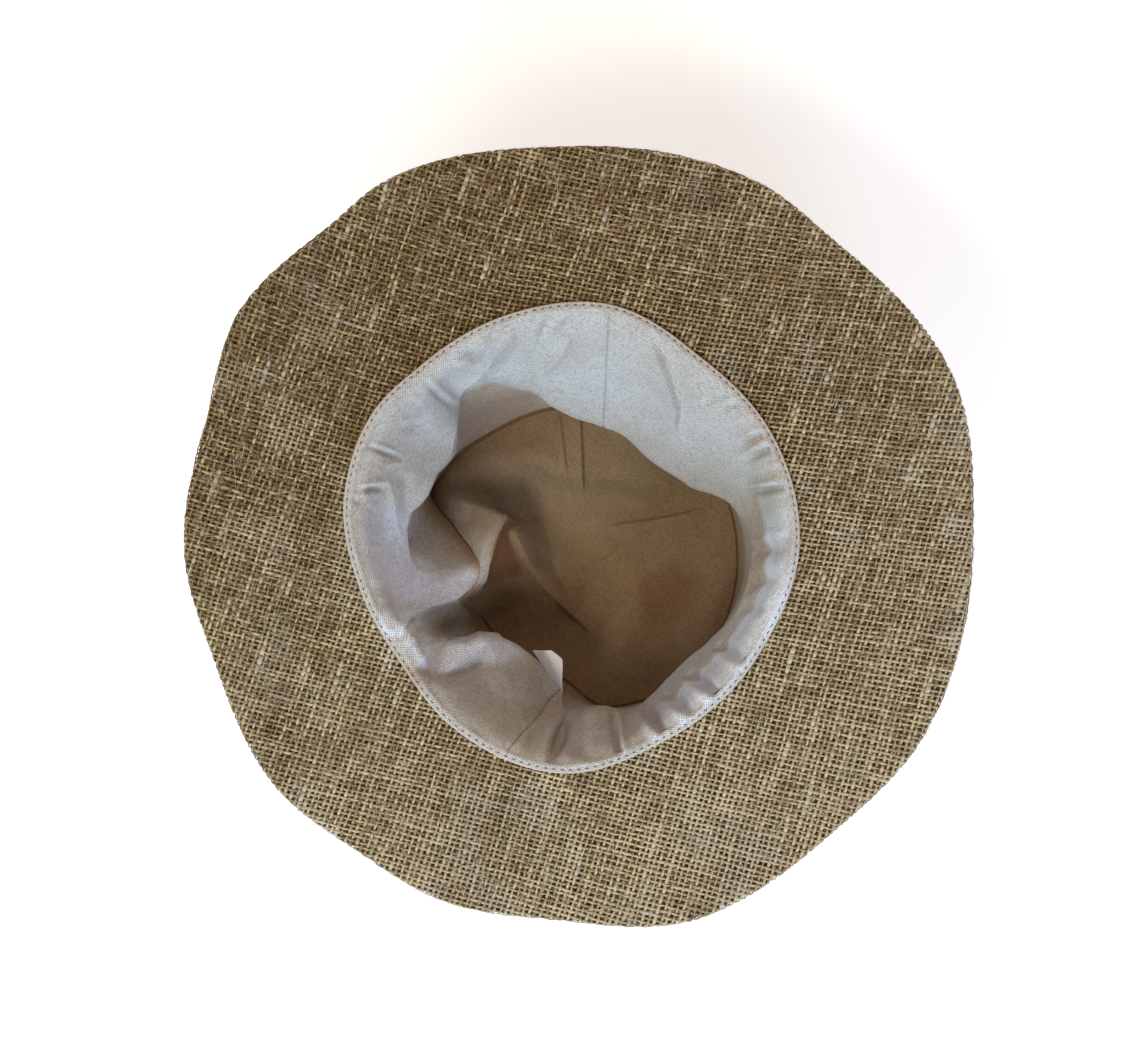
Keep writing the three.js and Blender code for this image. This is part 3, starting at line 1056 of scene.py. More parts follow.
@dataclass(frozen=True)
class LiningFinish(Finish):
    """Fine undyed cotton, paler at the rim, browned by painted shade towards the tip."""

    name: str = "lining_cotton"
    roughness: float = 0.82
    specular: float = 0.18
    sheen: float = 0.15
    # The rim and wall colours are the cotton's own; the brown after them is painted shade
    # deep in the crown, and also the colour of its stains.
    rim: Colour = (0.56, 0.525, 0.485)
    wall: Colour = (0.56, 0.53, 0.50)
    deep: Colour = (0.305, 0.196, 0.109)
    hem: Colour = (0.56, 0.455, 0.385)
    # Painted light and shade: the next dye makes the cotton paler and bluer where window
    # light falls, the one after it browns it where shade falls.
    painted_light_dye: Colour = (1.46, 1.66, 2.0)
    toned: Colour = (0.62, 0.42, 0.24)
    speck: Colour = (0.52, 0.44, 0.36)
    seam: Colour = (0.16, 0.10, 0.055)
    spacing: float = 0.80
    grain_turn: float = 33.0
    relief: float = 0.00022

    def wire(self, canvas: Canvas) -> Look:
        """Wire the cotton.

        Args:
            canvas: The material's canvas.

        Returns:
            The colour and the relief of its fine weave.
        """
        def dyed(colour: Socket, dye: Colour) -> Socket:
            """Multiply a colour by a dye."""
            return canvas.mix(1.0, colour, dye, "MULTIPLY")

        grain = canvas.node("ShaderNodeVectorRotate", {
            "Vector": canvas.cloth(), "Angle": math.radians(self.grain_turn)},
            rotation_type="Z_AXIS").outputs[0]
        weave = canvas.group(PlainWeaveGroup, vector=grain, column_spacing=self.spacing,
                             row_spacing=self.spacing, yarn_share=0.92, waver=0.12)
        clouds = canvas.group(ClothCloudsGroup, vector=canvas.place(), scale=60.0,
                              threshold=0.55, softness=0.14)
        depth, pale = canvas.attribute("depth"), canvas.attribute("pale")
        # Painted shade: the depth attribute browns the cotton deeper in the crown and in
        # its recesses and pockets.
        colour = canvas.mix(canvas.map_range(depth, (0.0, 0.30)), self.rim, self.wall)
        colour = canvas.mix(canvas.map_range(depth, (0.66, 0.98)), colour, self.deep)
        # The pale attribute paints light above 0.5 and paints shade below it.
        for end, dye in ((1.0, self.painted_light_dye), (0.0, self.toned)):
            colour = canvas.mix(canvas.map_range(pale, (0.5, end)), colour,
                                dyed(colour, dye))
        streaks = canvas.node("ShaderNodeVectorMath", {
            0: grain, 1: (0.12, 2.4, 1.0)}, operation="MULTIPLY").outputs[0]
        slub = canvas.map_range(canvas.noise(streaks, 1.0), (0.3, 0.75), (0.9, 1.08))
        specks = canvas.map_range(canvas.noise(grain, 1.5, 3.0, 0.75), (0.25, 0.75),
                                  (0.82, 1.16))
        # Painted shade and highlight: the weave's hollows darker, its yarns' tops lighter.
        yarn = canvas.map_range(weave["Height"], (0.25, 1.0), (0.52, 1.18))
        shade = canvas.times(canvas.times(slub, specks), yarn)
        colour = dyed(colour, canvas.node("ShaderNodeCombineColor", {
            0: shade, 1: shade, 2: shade}).outputs[0])
        tan = canvas.map_range(weave["Crossing tone"], (0.35, 1.0), (0.0, 0.4))
        colour = canvas.mix(tan, colour, dyed(colour, self.speck))
        patches = canvas.times(clouds["Patches"], 0.16)
        colour = canvas.mix(patches, colour, self.deep)
        colour = canvas.mix(canvas.attribute("hem"), colour, self.hem)
        # The seam attribute darkens the seams' grooves, and adds painted shade along the
        # pleats' lines.
        seam = canvas.times(canvas.attribute("seam"), 0.5)
        colour = canvas.mix(seam, colour, self.seam)
        height = canvas.plus(weave["Height"], canvas.times(specks, 1.2))
        return colour, Relief(height, self.relief, 0.8)


@dataclass(frozen=True)
class StitchFinish(Finish):
    """Grey-brown sewing thread."""

    name: str = "sewing_thread"
    roughness: float = 0.6
    specular: float = 0.3
    dark: Colour = (0.050, 0.038, 0.028)
    light: Colour = (0.150, 0.120, 0.090)

    def wire(self, canvas: Canvas) -> Look:
        """Wire the thread's twisted fibres."""
        fibre = canvas.group(SpunFibreGroup, vector=canvas.cloth(), length=0.8,
                             fineness=8.0, slant=1.4)
        return (canvas.mix(fibre["Tone"], self.dark, self.light),
                Relief(fibre["Height"], 0.00008, 0.8))


@dataclass(frozen=True)
class LabelFinish(Finish):
    """Smooth white woven tape, with nothing printed on it.

    The tape glows a very little: painted light that keeps it bright in the crown's shade.
    """

    name: str = "label_tape"
    roughness: float = 0.5
    specular: float = 0.3
    sheen: float = 0.1
    # Painted light: a faint glow on the tape.
    glow: Colour = (0.090, 0.086, 0.096)
    glow_strength: float = 1.0
    white: Colour = (0.93, 0.90, 0.92)
    aged: Colour = (0.80, 0.75, 0.73)

    def wire(self, canvas: Canvas) -> Look:
        """Wire the tape: aged patches, and a very fine weave."""
        cloth = canvas.cloth()
        weave = canvas.group(PlainWeaveGroup, vector=cloth, column_spacing=0.22,
                             row_spacing=0.3, yarn_share=0.96, waver=0.05)
        clouds = canvas.group(ClothCloudsGroup, vector=cloth, scale=0.18,
                              threshold=0.55, softness=0.2)
        return (canvas.mix(canvas.times(clouds["Patches"], 0.5), self.white, self.aged),
                Relief(weave["Height"], 0.00006, 0.6))


@dataclass(frozen=True)
class FloorFinish(Finish):
    """A plain pale floor, lit a little by itself so that it stays pale."""

    name: str = "studio_floor"
    roughness: float = 0.9
    specular: float = 0.1
    glow_strength: float = 0.5
    pale: Colour = (0.9, 0.9, 0.9)
    grey: Colour = (0.86, 0.86, 0.86)

    def wire(self, canvas: Canvas) -> Look:
        """Wire the floor, very slightly uneven in tone."""
        return canvas.mix(canvas.noise(canvas.place(), 1.5), self.grey, self.pale), None


# ---- woven yarns


class YarnSystem(Enum):
    """The two systems of yarns in a plain weave."""

    ROWS = "rows"
    COLUMNS = "columns"


@dataclass(frozen=True)
class YarnGauge:
    """How one system of yarns is spaced and spun."""

    spacing: float
    width: float
    unevenness: float
    slub_length: float
    slub_share: float
    meander: float


@dataclass(frozen=True)
class YarnNoise:
    """One layer of unevenness along the yarns, endless in length where it is constant."""

    amount: float
    length: float
    yarn_step: float
    layer: float


SWAY = (YarnNoise(1.0, 8.0, 7.31, 1.5), YarnNoise(0.8, 60.0, 3.77, 40.5),
        YarnNoise(0.45, 2.9, 5.9, 45.5))
THICK_AND_THIN = (YarnNoise(1.0, 7.0, 2.9, 20.5), YarnNoise(0.6, 2.1, 9.1, 30.5),
                  YarnNoise(0.5, math.inf, 4.7, 33.5))
LIGHT_AND_DARK = (YarnNoise(0.18, math.inf, 6.1, 50.5), YarnNoise(0.26, 16.0, 4.3, 52.5),
                  YarnNoise(0.36, 2.3, 8.3, 53.5))
LOOSENESS = (YarnNoise(0.08, 5.0, 1.7, 55.5),)
STAINS = (YarnNoise(1.0, 7.0, 3.1, 60.5),)


@dataclass(frozen=True)
class OpenWeave:
    """A loose plain weave of jute, laid in one piece over the brim."""

    rows: YarnGauge = YarnGauge(1.95, 0.92, 0.44, 12.0, 0.62, 0.36)
    columns: YarnGauge = YarnGauge(2.25, 1.08, 0.50, 16.0, 0.45, 0.44)
    row_turn: float = -12.5
    column_lean: float = 19.0
    bend: float = 0.00062
    fan: float = 0.00037
    twist: float = 0.0000046
    waves: tuple[tuple[float, float, float], ...] = ((1.3, 48.0, 3.5), (0.35, 13.0, 9.5))
    wave: float = 0.34
    thickness: float = 0.5
    half_size: float = 196.0
    crossing_samples: Pairs = ((-0.28, 0.74), (0.0, 1.0), (0.28, 0.74))
    thinnest: float = 0.45
    thickest: float = 1.9
    seed: int = 7

    def lay(self, along: Array, up: Array, drift: SmoothNoise) -> Array:
        """Find where the cloth's own coordinates fall in plan.

        Args:
            along: Distance along the rows.
            up: Distance along the columns.
            drift: Noise that makes the whole cloth a little wavy.

        Returns:
            Plan points in millimetres.
        """
        turn, lean = math.radians(self.row_turn), math.radians(self.column_lean)
        x = along * math.cos(turn) + up * math.sin(lean)
        y = along * math.sin(turn) + up * math.cos(lean)
        y = y + along * along * (self.bend + self.twist * up) / 2 + self.fan * along * up
        return pair(*(
            straight + sum(reach * drift.at(x / size, y / size, layer + apart)
                           for reach, size, layer in self.waves)
            for straight, apart in ((x, 0.0), (y, 20.0))))


@dataclass(frozen=True)
class WeatheringAndPaintedLight:
    """How the jute is stained and bleached, and paler by painted window light to the lower
    right.
    """

    stain_size: tuple[float, float] = (9.0, 7.0)
    bleach_size: tuple[float, float] = (15.0, 21.0)
    # Painted light: the brim paler and greyer towards the lower right, where the window
    # light falls.
    window_light_way: tuple[float, float] = (0.53, -0.85)
    window_light_reach: float = 290.0
    window_light_tone: float = 0.34
    bleached_tone: float = 0.08

    def patches(self, plan: Array, drift: SmoothNoise) -> tuple[Array, Array, Array]:
        """Find the brim's patches.

        Args:
            plan: Plan points in millimetres.
            drift: The noise of the whole cloth.

        Returns:
            How stained each point is, its share of painted window light, and how bleached
            it is.
        """
        x, y = plan[..., 0], plan[..., 1]
        stained, bleached = [
            drift.at(x / size[0], y / size[1], layer)
            for size, layer in ((self.stain_size, 70.5), (self.bleach_size, 80.5))]
        way = (self.window_light_way[0] * x + self.window_light_way[1] * y) / self.window_light_reach
        paler_by_painted_light = np.clip(0.5 + way, 0, 1)
        return (0.8 * smoothstep(stained, 0.30, 0.62), paler_by_painted_light,
                smoothstep(bleached, 0.0, 0.55) * (0.3 + 0.7 * paler_by_painted_light))


@dataclass
class YarnSamples:
    """Points along every yarn of one system, before they are made into ribbons."""

    plan: Array
    lift: Array
    width: Array
    along: Array
    values: dict[str, Array]


@dataclass
class YarnNet:
    """One system of yarns of an open weave, made as arched ribbons."""

    weave: OpenWeave
    system: YarnSystem
    weathering_and_light: WeatheringAndPaintedLight = WeatheringAndPaintedLight()
    rails: Pairs = ((-1.0, -0.55), (0.0, 0.45), (1.0, -0.55))
    # Painted highlight and shade: each yarn's middle rail lighter, its side rails darker.
    painted_rail_shade: tuple[float, ...] = (-0.24, 0.10, -0.24)
    noise: SmoothNoise = field(init=False)
    drift: SmoothNoise = field(init=False)

    def __post_init__(self) -> None:
        """Seed the noise, the same for both systems where they share it."""
        self.drift = SmoothNoise(self.weave.seed)
        self.noise = SmoothNoise(self.weave.seed + (5 if self.is_rows else 11))

    @property
    def is_rows(self) -> bool:
        """Whether these are the rows."""
        return self.system is YarnSystem.ROWS

    def uneven(self, layers: Sequence[YarnNoise], along: Array, yarn: Array) -> Array:
        """Add up layers of unevenness along each yarn."""
        return sum(
            row.amount
            * self.noise.at(along / row.length, yarn * row.yarn_step, row.layer)
            for row in layers)

    def samples(self) -> YarnSamples:
        """Lay the yarns, each going over and under the yarns that it crosses.

        Returns:
            The samples, one row for each yarn.
        """
        weave = self.weave
        own, other = ((weave.rows, weave.columns) if self.is_rows
                      else (weave.columns, weave.rows))
        yarns = int(weave.half_size / own.spacing)
        crossings = int(weave.half_size / other.spacing)
        yarn = np.arange(-yarns, yarns + 1)[:, None]
        crossing = np.repeat(np.arange(-crossings, crossings + 1),
                             len(weave.crossing_samples))[None]
        part, crest = np.tile(np.array(weave.crossing_samples).T, 2 * crossings + 1)
        along = (crossing + part) * other.spacing
        aside = yarn * own.spacing + own.meander * self.uneven(SWAY, along, yarn)
        ways = (along, aside) if self.is_rows else (aside, along)
        plan = weave.lay(*np.broadcast_arrays(*ways), self.drift)
        over = crest * np.where((yarn + crossing) % 2 == 0, 1.0, -1.0)
        over = over if self.is_rows else -over
        slub = smoothstep(self.noise.at(along / own.slub_length, yarn * 5.13, 12.5),
                          own.slub_share, own.slub_share + 0.3)
        uneven = own.unevenness * self.uneven(THICK_AND_THIN, along, yarn)
        width = own.width * np.clip(1 + uneven + 0.5 * slub,
                                    weave.thinnest, weave.thickest)
        # The window light share paints the yarns paler and greyer towards the lower right;
        # the bleached patches grow there too.
        stained, paler_by_painted_light, bleached = self.weathering_and_light.patches(plan, self.drift)
        stained = np.maximum(
            smoothstep(self.uneven(STAINS, along, yarn), 0.30, 0.70), stained)
        # Painted shade and light: yarns darker where they dip under the crossing yarns,
        # lighter where they pass over.
        tone = (0.55 + self.uneven(LIGHT_AND_DARK, along, yarn) + 0.16 * over
                + self.weathering_and_light.window_light_tone * (paler_by_painted_light - 0.5)
                + self.weathering_and_light.bleached_tone * bleached)
        return YarnSamples(
            plan=plan, width=width, along=np.broadcast_to(along, width.shape),
            lift=weave.wave * over + self.uneven(LOOSENESS, along, yarn),
            values={"tone": np.clip(tone + 0.25 * slub, 0, 1), "stain": stained,
                    "slub": np.clip(0.6 * slub + 0.18 * paler_by_painted_light + 0.36 * bleached, 0, 1)})

    def build(self, name: str, place: Callable[[Array, Array], Array], keep: Array,
              samples: YarnSamples) -> Piece:
        """Make the ribbons.

        Args:
            name: The piece's name.
            place: A function from plan points and lifts to points in space.
            keep: Which samples are on the cloth.
            samples: The yarns' samples.

        Returns:
            The object.
        """
        aside = leftward(samples.plan) * samples.width[..., None] / 2
        girth = 0.6 + 0.4 * samples.width / samples.width.mean()
        used = keep.copy()
        used[:, 1:] |= keep[:, :-1]
        used[:, :-1] |= keep[:, 1:]
        rows, columns = np.nonzero(used)
        number = np.full(keep.shape, -1)
        number[rows, columns] = np.arange(len(rows))
        points, uv = [], []
        for side, rise in self.rails:
            flat = samples.plan + aside * side
            lift = samples.lift + self.weave.thickness * girth * rise
            points.append(place(flat[rows, columns], lift[rows, columns]))
            uv.append(np.column_stack([samples.along[rows, columns] + rows * 7.7,
                                       side * samples.width[rows, columns] / 2]))
        joined = used[:, :-1] & used[:, 1:] & (keep[:, :-1] | keep[:, 1:])
        count = len(self.rails)
        start, end = number[:, :-1][joined] * count, number[:, 1:][joined] * count
        faces = np.concatenate([
            np.stack([start + rail, end + rail, end + rail + 1, start + rail + 1],
                     axis=-1) for rail in range(count - 1)])
        values = {label: np.repeat(numbers[rows, columns], count)
                  for label, numbers in samples.values.items()}
        values["tone"] = values["tone"] + np.tile(self.painted_rail_shade, len(rows))
        return build_object(name, np.stack(points, axis=1), [faces],
                            np.stack(uv, axis=1), values, UP)


# ---- creases


class CreaseKind(Enum):
    """How cloth is creased along a line."""

    GROOVE = "groove"
    RIDGE = "ridge"
    PLEAT = "pleat"


@dataclass(frozen=True)
class Crease:
    """A crease in the lining, along a line given in plan."""

    kind: CreaseKind
    path: Pairs
    width: float
    height: float
    lowest: float = -10.0
    highest: float = 110.0
    # How dark the painted shade along a pleat's line is.
    line_shade: float = 1.0

    def across(self, points: Array) -> tuple[Array, Array]:
        """Measure how far points are from the line.

        Args:
            points: Points of the cloth, in millimetres.

        Returns:
            The distance to the left of the line, and how much of the crease is left
            there, fading to 0 at its ends.
        """
        path = np.array(self.path, float)
        runs = lengths(np.diff(path, axis=0))
        best = np.full(points.shape[:-1], np.inf)
        signed, share = np.zeros_like(best), np.zeros_like(best)
        walked = 0.0
        for start, end, length in zip(path[:-1], path[1:], runs):
            line = (end - start) / length
            offset = points[..., :2] - start
            t = np.clip(offset @ line, 0, length)
            away = offset - t[..., None] * line
            distance = lengths(away)
            turn = np.sign(line[0] * away[..., 1] - line[1] * away[..., 0])
            nearer = distance < best
            best = np.where(nearer, distance, best)
            signed = np.where(nearer, distance * turn, signed)
            share = np.where(nearer, (walked + t) / runs.sum(), share)
            walked += length
        inside = (points[..., 2] > self.lowest) & (points[..., 2] < self.highest)
        return signed, np.clip(6.4 * share * (1 - share), 0, 1) * inside

    def relief(self, points: Array) -> Array:
        """How far the crease moves the cloth into the hollow, in millimetres."""
        signed, strength = self.across(points)
        if self.kind is CreaseKind.PLEAT:
            shape = np.where(signed > 0, np.exp(-np.abs(signed) / self.width),
                             bump(signed, 0.0, 0.8))
        elif self.kind is CreaseKind.RIDGE:
            shape = np.exp(-(np.hypot(signed, 0.6) - 0.6) / (0.8 * self.width))
        else:
            shape = bump(signed, 0.0, self.width)
        sign = -1.0 if self.kind is CreaseKind.GROOVE else 1.0
        return sign * self.height * shape * strength

    def shade(self, points: Array) -> Array:
        """How much painted shade darkens the crease's own line, from 0 to 1."""
        if self.kind is not CreaseKind.PLEAT:
            return np.zeros(points.shape[:-1])
        signed, strength = self.across(points)
        return self.line_shade * bump(signed, -0.5, 0.6) * strength


@dataclass(frozen=True)
class Mark:
    """A mark on the lining, longer along its heading than across it."""

    x: float
    y: float
    heading: float
    length: float
    width: float

    def own_axes(self, points: Array) -> tuple[Array, Array]:
        """Measure points along and across the mark, in its lengths and widths."""
        turn = math.radians(self.heading)
        x, y = points[..., 0] - self.x, points[..., 1] - self.y
        return ((x * math.cos(turn) + y * math.sin(turn)) / self.length,
                (y * math.cos(turn) - x * math.sin(turn)) / self.width)


@dataclass(frozen=True)
class Dimple(Mark):
    """A short hollow where the cloth is eased into the hem, with a ridge beside it."""

    depth: float
    ridge: float = 0.5
    lowest: float = 50.0

    def relief(self, points: Array) -> Array:
        """How far the dimple moves the cloth into the hollow, in millimetres."""
        along, aside = self.own_axes(points)
        reach = bump(along, 0.0, 1.0) * (points[..., 2] > self.lowest)
        ridge = abs(self.ridge) * bump(aside, 1.8 * np.sign(self.ridge), 1.0)
        return self.depth * reach * (ridge - bump(aside, 0.0, 1.0))


@dataclass(frozen=True)
class PaintedLightAndShadeSpot(Mark):
    """A soft spot of painted light on the lining, or painted shade if the amount is
    negative.
    """

    amount: float
    lowest: float = -10.0
    highest: float = 110.0

    def strength(self, points: Array) -> Array:
        """How much painted light the spot gives each point, from -1 to 1; below 0 it is
        shade.
        """
        along, aside = self.own_axes(points)
        reach = Window(self.lowest - 3, self.lowest + 3, self.highest - 3,
                       self.highest + 3).at(points[..., 2])
        return self.amount * reach * np.exp(-(along ** 2 + aside ** 2) ** 1.5)


RIDGE, GROOVE, PLEAT = CreaseKind.RIDGE, CreaseKind.GROOVE, CreaseKind.PLEAT

CREASES = tuple(Crease(*row) for row in (
    # kind, path, width, height, and any lowest, highest and painted line shade
    # two pleats that run in from the seam over the tip's back
    (PLEAT, ((-5, 26), (-7, 43), (-9, 58)), 3.5, 1.0, -10, 12),
    (PLEAT, ((2.5, 18), (1.8, 38), (0.5, 62)), 3.5, 1.6, -10, 12),
    # a pleat and soft rolls over the rest of the tip
    (PLEAT, ((58, 12), (45, 8.5), (30, 6), (10, 3.2)), 4.5, 1.2, -10, 12, 0.7),
    (PLEAT, ((-2, -17), (6, -12.5), (13, -9.5), (21, -2.5)), 3.0, 0.6, -10, 12),
    (RIDGE, ((-6, 10), (8, 7), (22, 5.5), (34, 6)), 5.0, 0.9, -10, 12),
    (RIDGE, ((16, -8), (26, -18), (30, -34), (24, -48)), 6.0, 1.3, -10, 12),
    (GROOVE, ((-30, 38), (-10, 28), (14, 25), (42, 20)), 4.5, 1.1, -10, 12),
    (RIDGE, ((-28, 46), (-20, 34), (-14, 18), (-4, 8)), 5.0, 1.0, -10, 12),
    # the sharp crease down the upper-right wall
    (PLEAT, ((41.5, 44), (41.6, 52.6), (39.2, 58.3), (37, 63.4), (33.8, 70.5),
             (29.5, 77)), 3.2, 1.8, 45, 110, 1.8),
    (RIDGE, ((27, 42), (29, 50), (30, 58)), 3.0, 0.8, 30),
    # the peak, its two sharp ridges and the valley between them
    (RIDGE, ((-60, 16.5), (-44.4, 12), (-32.4, 7.6)), 1.7, 1.0, 12),
    (PLEAT, ((-44.8, -25.2), (-41, -18), (-38, -8.9), (-34.5, 2.1), (-31, 10)),
     4.0, 2.2, 18, 110, 0.0),
    (GROOVE, ((-30.5, 2), (-32.3, -5), (-34, -12), (-36, -20), (-38, -27)),
     3.4, 0.8, 8),
    (PLEAT, ((-33, 10), (-27, -4.1), (-16.9, -22.1), (-6.2, -33), (8, -46)),
     7.0, 2.4, -10, 42, 0.0),
    # the crisp edge of the fold that hangs over the side pocket
    (PLEAT, ((-74, -41), (-71, -34.9), (-64.3, -30.6), (-54.6, -27.4), (-45.2, -21)),
     3.0, 3.0, 34, 110, 0.25),
    (GROOVE, ((-69, -38), (-60, -34), (-51, -30.5), (-43, -26)), 2.2, 1.8, 30),
    # the roll below that pocket
    (RIDGE, ((-74, -34.5), (-68, -41), (-62, -46), (-54, -49), (-46.5, -48.5),
             (-40, -45.5), (-33, -42)), 2.8, 5.0, 42),
    (GROOVE, ((-63, -49.5), (-57, -54), (-50, -56), (-43, -54.5), (-35, -50)),
     3.2, 3.8, 55),
    (GROOVE, ((-64, -43), (-56, -44.5), (-49, -43)), 2.4, 1.6, 30),
    (GROOVE, ((-50, -55), (-40, -52), (-30, -53)), 2.6, 0.9, 40),
    # the shallow fold between the rim and the left wall's overhang
    (RIDGE, ((-79, 28), (-76.2, 14.9), (-75.1, 2.4), (-70.8, -8.5)), 2.0, 1.0, 55),
    (GROOVE, ((-71, 26), (-70.5, 17), (-70, 6)), 2.8, 1.5, 50),
    (RIDGE, ((-87.5, 18.5), (-82.3, 23.1), (-78.6, 28.4), (-72, 31)), 1.4, 1.4, 60),
    # the edge of the left wall over the back wall's recess
    (PLEAT, ((-60, 26), (-55.5, 34), (-53.5, 42), (-53, 51.5), (-52, 58), (-49, 64),
             (-41, 69), (-33, 76)), 4.0, 2.0, 40, 110, 0.3),
    # the two rolls above the back wall's recess
    (RIDGE, ((-53, 62), (-42, 68.9), (-35, 73.1), (-31.2, 76.4), (-25, 80)),
     1.9, 1.5, 55),
    (GROOVE, ((-42, 64), (-33, 68.5), (-26, 73), (-20, 74)), 3.4, 1.7, 40),
    (RIDGE, ((-22, 64), (-11.7, 70.5), (-6.7, 75.1), (-3, 81)), 2.2, 1.6, 40),
    # the roll along the bottom wall, and the plane between it and the leaning seam
    (RIDGE, ((-16, -82), (-8.5, -78.5), (0.9, -76), (9.3, -75), (20.1, -76)),
     3.0, 1.5, 45),
    (GROOVE, ((-22, -77), (-15, -74), (-8, -70)), 3.2, 1.8, 40),
    (RIDGE, ((-26, -85), (-20, -79), (-17, -73)), 2.2, 0.9, 50)))

DIMPLES = tuple(Dimple(*row) for row in (
    # x, y, heading, length, width, depth, and any other ridge than 0.5
    # down the right side, from the top
    (61.5, 52, 15, 4.5, 1.6, 1.2), (56, 55, 5, 6, 1.8, 0.9),
    (70.5, 39.5, 22, 3.8, 1.3, 1.2), (72.5, 33, 29, 4.2, 1.7, 2.3, 0.7),
    (79, 26.5, 15, 3.4, 1.3, 0.8), (76.5, 18.5, 8, 4.4, 1.6, 2.1, 0.7),
    (81.5, -1, 45, 3.2, 1.6, 0.9), (78, -6, 30, 4.4, 2.2, 1.5),
    (76, -18.5, 48, 4.4, 1.8, 1.6), (72, -30, 41, 4.0, 1.6, 1.1),
    # along the lower right and the bottom
    (62, -47, -10, 4.8, 2.2, 1.8, -0.5), (51, -60, -15, 5.6, 2.1, 2.4, -0.6),
    (41, -68, -10, 5.6, 2.0, 2.2, -0.6), (31, -75, -28, 4.6, 1.9, 2.8, -0.7),
    (15.5, -83, -80, 6.5, 1.5, 2.3, 0.6), (2, -86, 0, 5.0, 2.2, 1.5, -0.4),
    (-8.5, -84.5, 55, 4.6, 2.3, 2.9, 0.6),
    # up the left side
    (-36, -63, -50, 8.0, 3.0, 1.0), (-58, -52, 10, 5.0, 1.5, 0.8, 0.4),
    (-88, 14, 10, 3.2, 1.8, 0.5), (-82.5, 19, 12, 3.8, 1.3, 1.6, 0.6),
    (-78, 33.5, -20, 4.6, 1.1, 1.2, 0.6), (-66, 45, 35, 4.5, 1.5, 0.9),
    (-58, 58, -45, 4.0, 1.4, 0.9), (-70, 60, 55, 3.5, 1.6, 0.5),
    # across the top
    (-40, 73.5, 10, 6.5, 1.1, 1.5, -0.7), (-4.5, 84, 40, 4.5, 1.8, 1.3),
    (-13.5, 82.5, 60, 3.6, 1.6, 1.0), (20, 80, 75, 4.0, 1.8, 0.7),
    (-28, 84, 60, 3.4, 1.3, 0.7), (44, 71, 50, 4.0, 1.7, 0.7)))
DIMPLE_SCALE = 1.3

PAINTED_LIGHT_AND_SHADE_SPOTS = tuple(PaintedLightAndShadeSpot(*row) for row in (
    # x, y, heading, length, width, amount, and any lowest and highest
    # painted light and shade: the lower left shelf, fold's edge and roll under the pocket
    (-72, -14, -70, 26, 11, 0.8, 45), (-59, -27, 28, 22, 6, 1.3, 36),
    (-50, -49, 0, 28, 7, 1.0, 30), (-69, -52, -50, 10, 6, -1.1, 60),
    (-56, -40, 5, 12, 4.5, -0.7, 30, 84),
    (-69, 1, -60, 14, 8, 0.3), (-42, -9, 67, 19, 4, 0.2, 25, 60),
    (-41, 10, 0, 8, 5, -0.4, 25, 60),
    # painted light on the lower right rim, and a little at the upper left
    (58, -48, 48, 42, 10, 0.9, 60), (78, -10, 85, 24, 6, 0.6, 66),
    (-50, 62, 50, 44, 14, 0.18, 50),
    # painted shade on the upper right rim, side pocket, bottom roll and right wall's foot
    (79, 27, 80, 20, 8, -0.25, 60), (30, 80, 0, 40, 10, -0.12, 60),
    (-56, 4, -60, 16, 9, -0.1, -10, 40),
    (4, -75, 0, 32, 8, -0.35, 20, 78),
    (75, -8, 90, 30, 7, -0.5, 30, 66),
    (75, -8, 90, 30, 7, -0.1, -10, 30),
    (69, -31, 65, 18, 6, -0.5, -10, 45),
    # painted shade on the tip's near and right sides
    (38, -30, 40, 20, 15, -0.6, -10, 12),
    (-4, -30, 60, 14, 9, -0.6, -10, 12),
    (50, -14, 80, 18, 10, -0.12, -10, 12),
    # painted light on the back of the tip, behind the peak, and the soft fold across its
    # middle
    (4, 24, 50, 44, 30, 0.62, -10, 12),
    (-36, 23, 0, 26, 13, 1.1, -10, 38),
    (-17, -12, -55, 26, 8, 0.35, -10, 38),
    (15, -64, 0, 20, 10, 0.3, -10, 12),
    (-29, -26, -60, 14, 8, 0.35, -10, 30),
    (20, -42, 70, 14, 8, 0.55), (-53, 10, -20, 7, 5, 0.9, 12, 60)))


def crease_relief(points: Array) -> tuple[Array, Array]:
    """Add up the creases and dimples.

    Args:
        points: Points of the lining's face, in millimetres.

    Returns:
        The relief in millimetres, and the painted shade along the creases' lines.
    """
    total = sum(crease.relief(points) for crease in CREASES)
    total = total + DIMPLE_SCALE * sum(dimple.relief(points) for dimple in DIMPLES)
    painted_crease_shade = sum(crease.shade(points) for crease in CREASES)
    return total, np.clip(painted_crease_shade, 0, 1)


def painted_light_and_shade(points: Array) -> Array:
    """The painted light and shade at each point: 0.5 is plain, 1 pale and 0 brown."""
    spots = sum(spot.strength(points) for spot in PAINTED_LIGHT_AND_SHADE_SPOTS)
    return 0.5 + 0.5 * np.clip(spots, -1, 1)


# ---- pieces


def full_turn(columns: int) -> Array:
    """Angles that go once round, as one row."""
    return np.linspace(0, 360, columns, endpoint=False)[None]


def spaced_rings(*stretches: tuple[float, float, int]) -> Array:
    """Space rings evenly in stretches that share their ends.

    Args:
        stretches: A first ring, a last ring and a count of rings for each stretch.

    Returns:
        The rings as one column.
    """
    rings = [np.linspace(*stretch)[1 if number else 0:]
             for number, stretch in enumerate(stretches)]
    return np.concatenate(rings)[:, None]


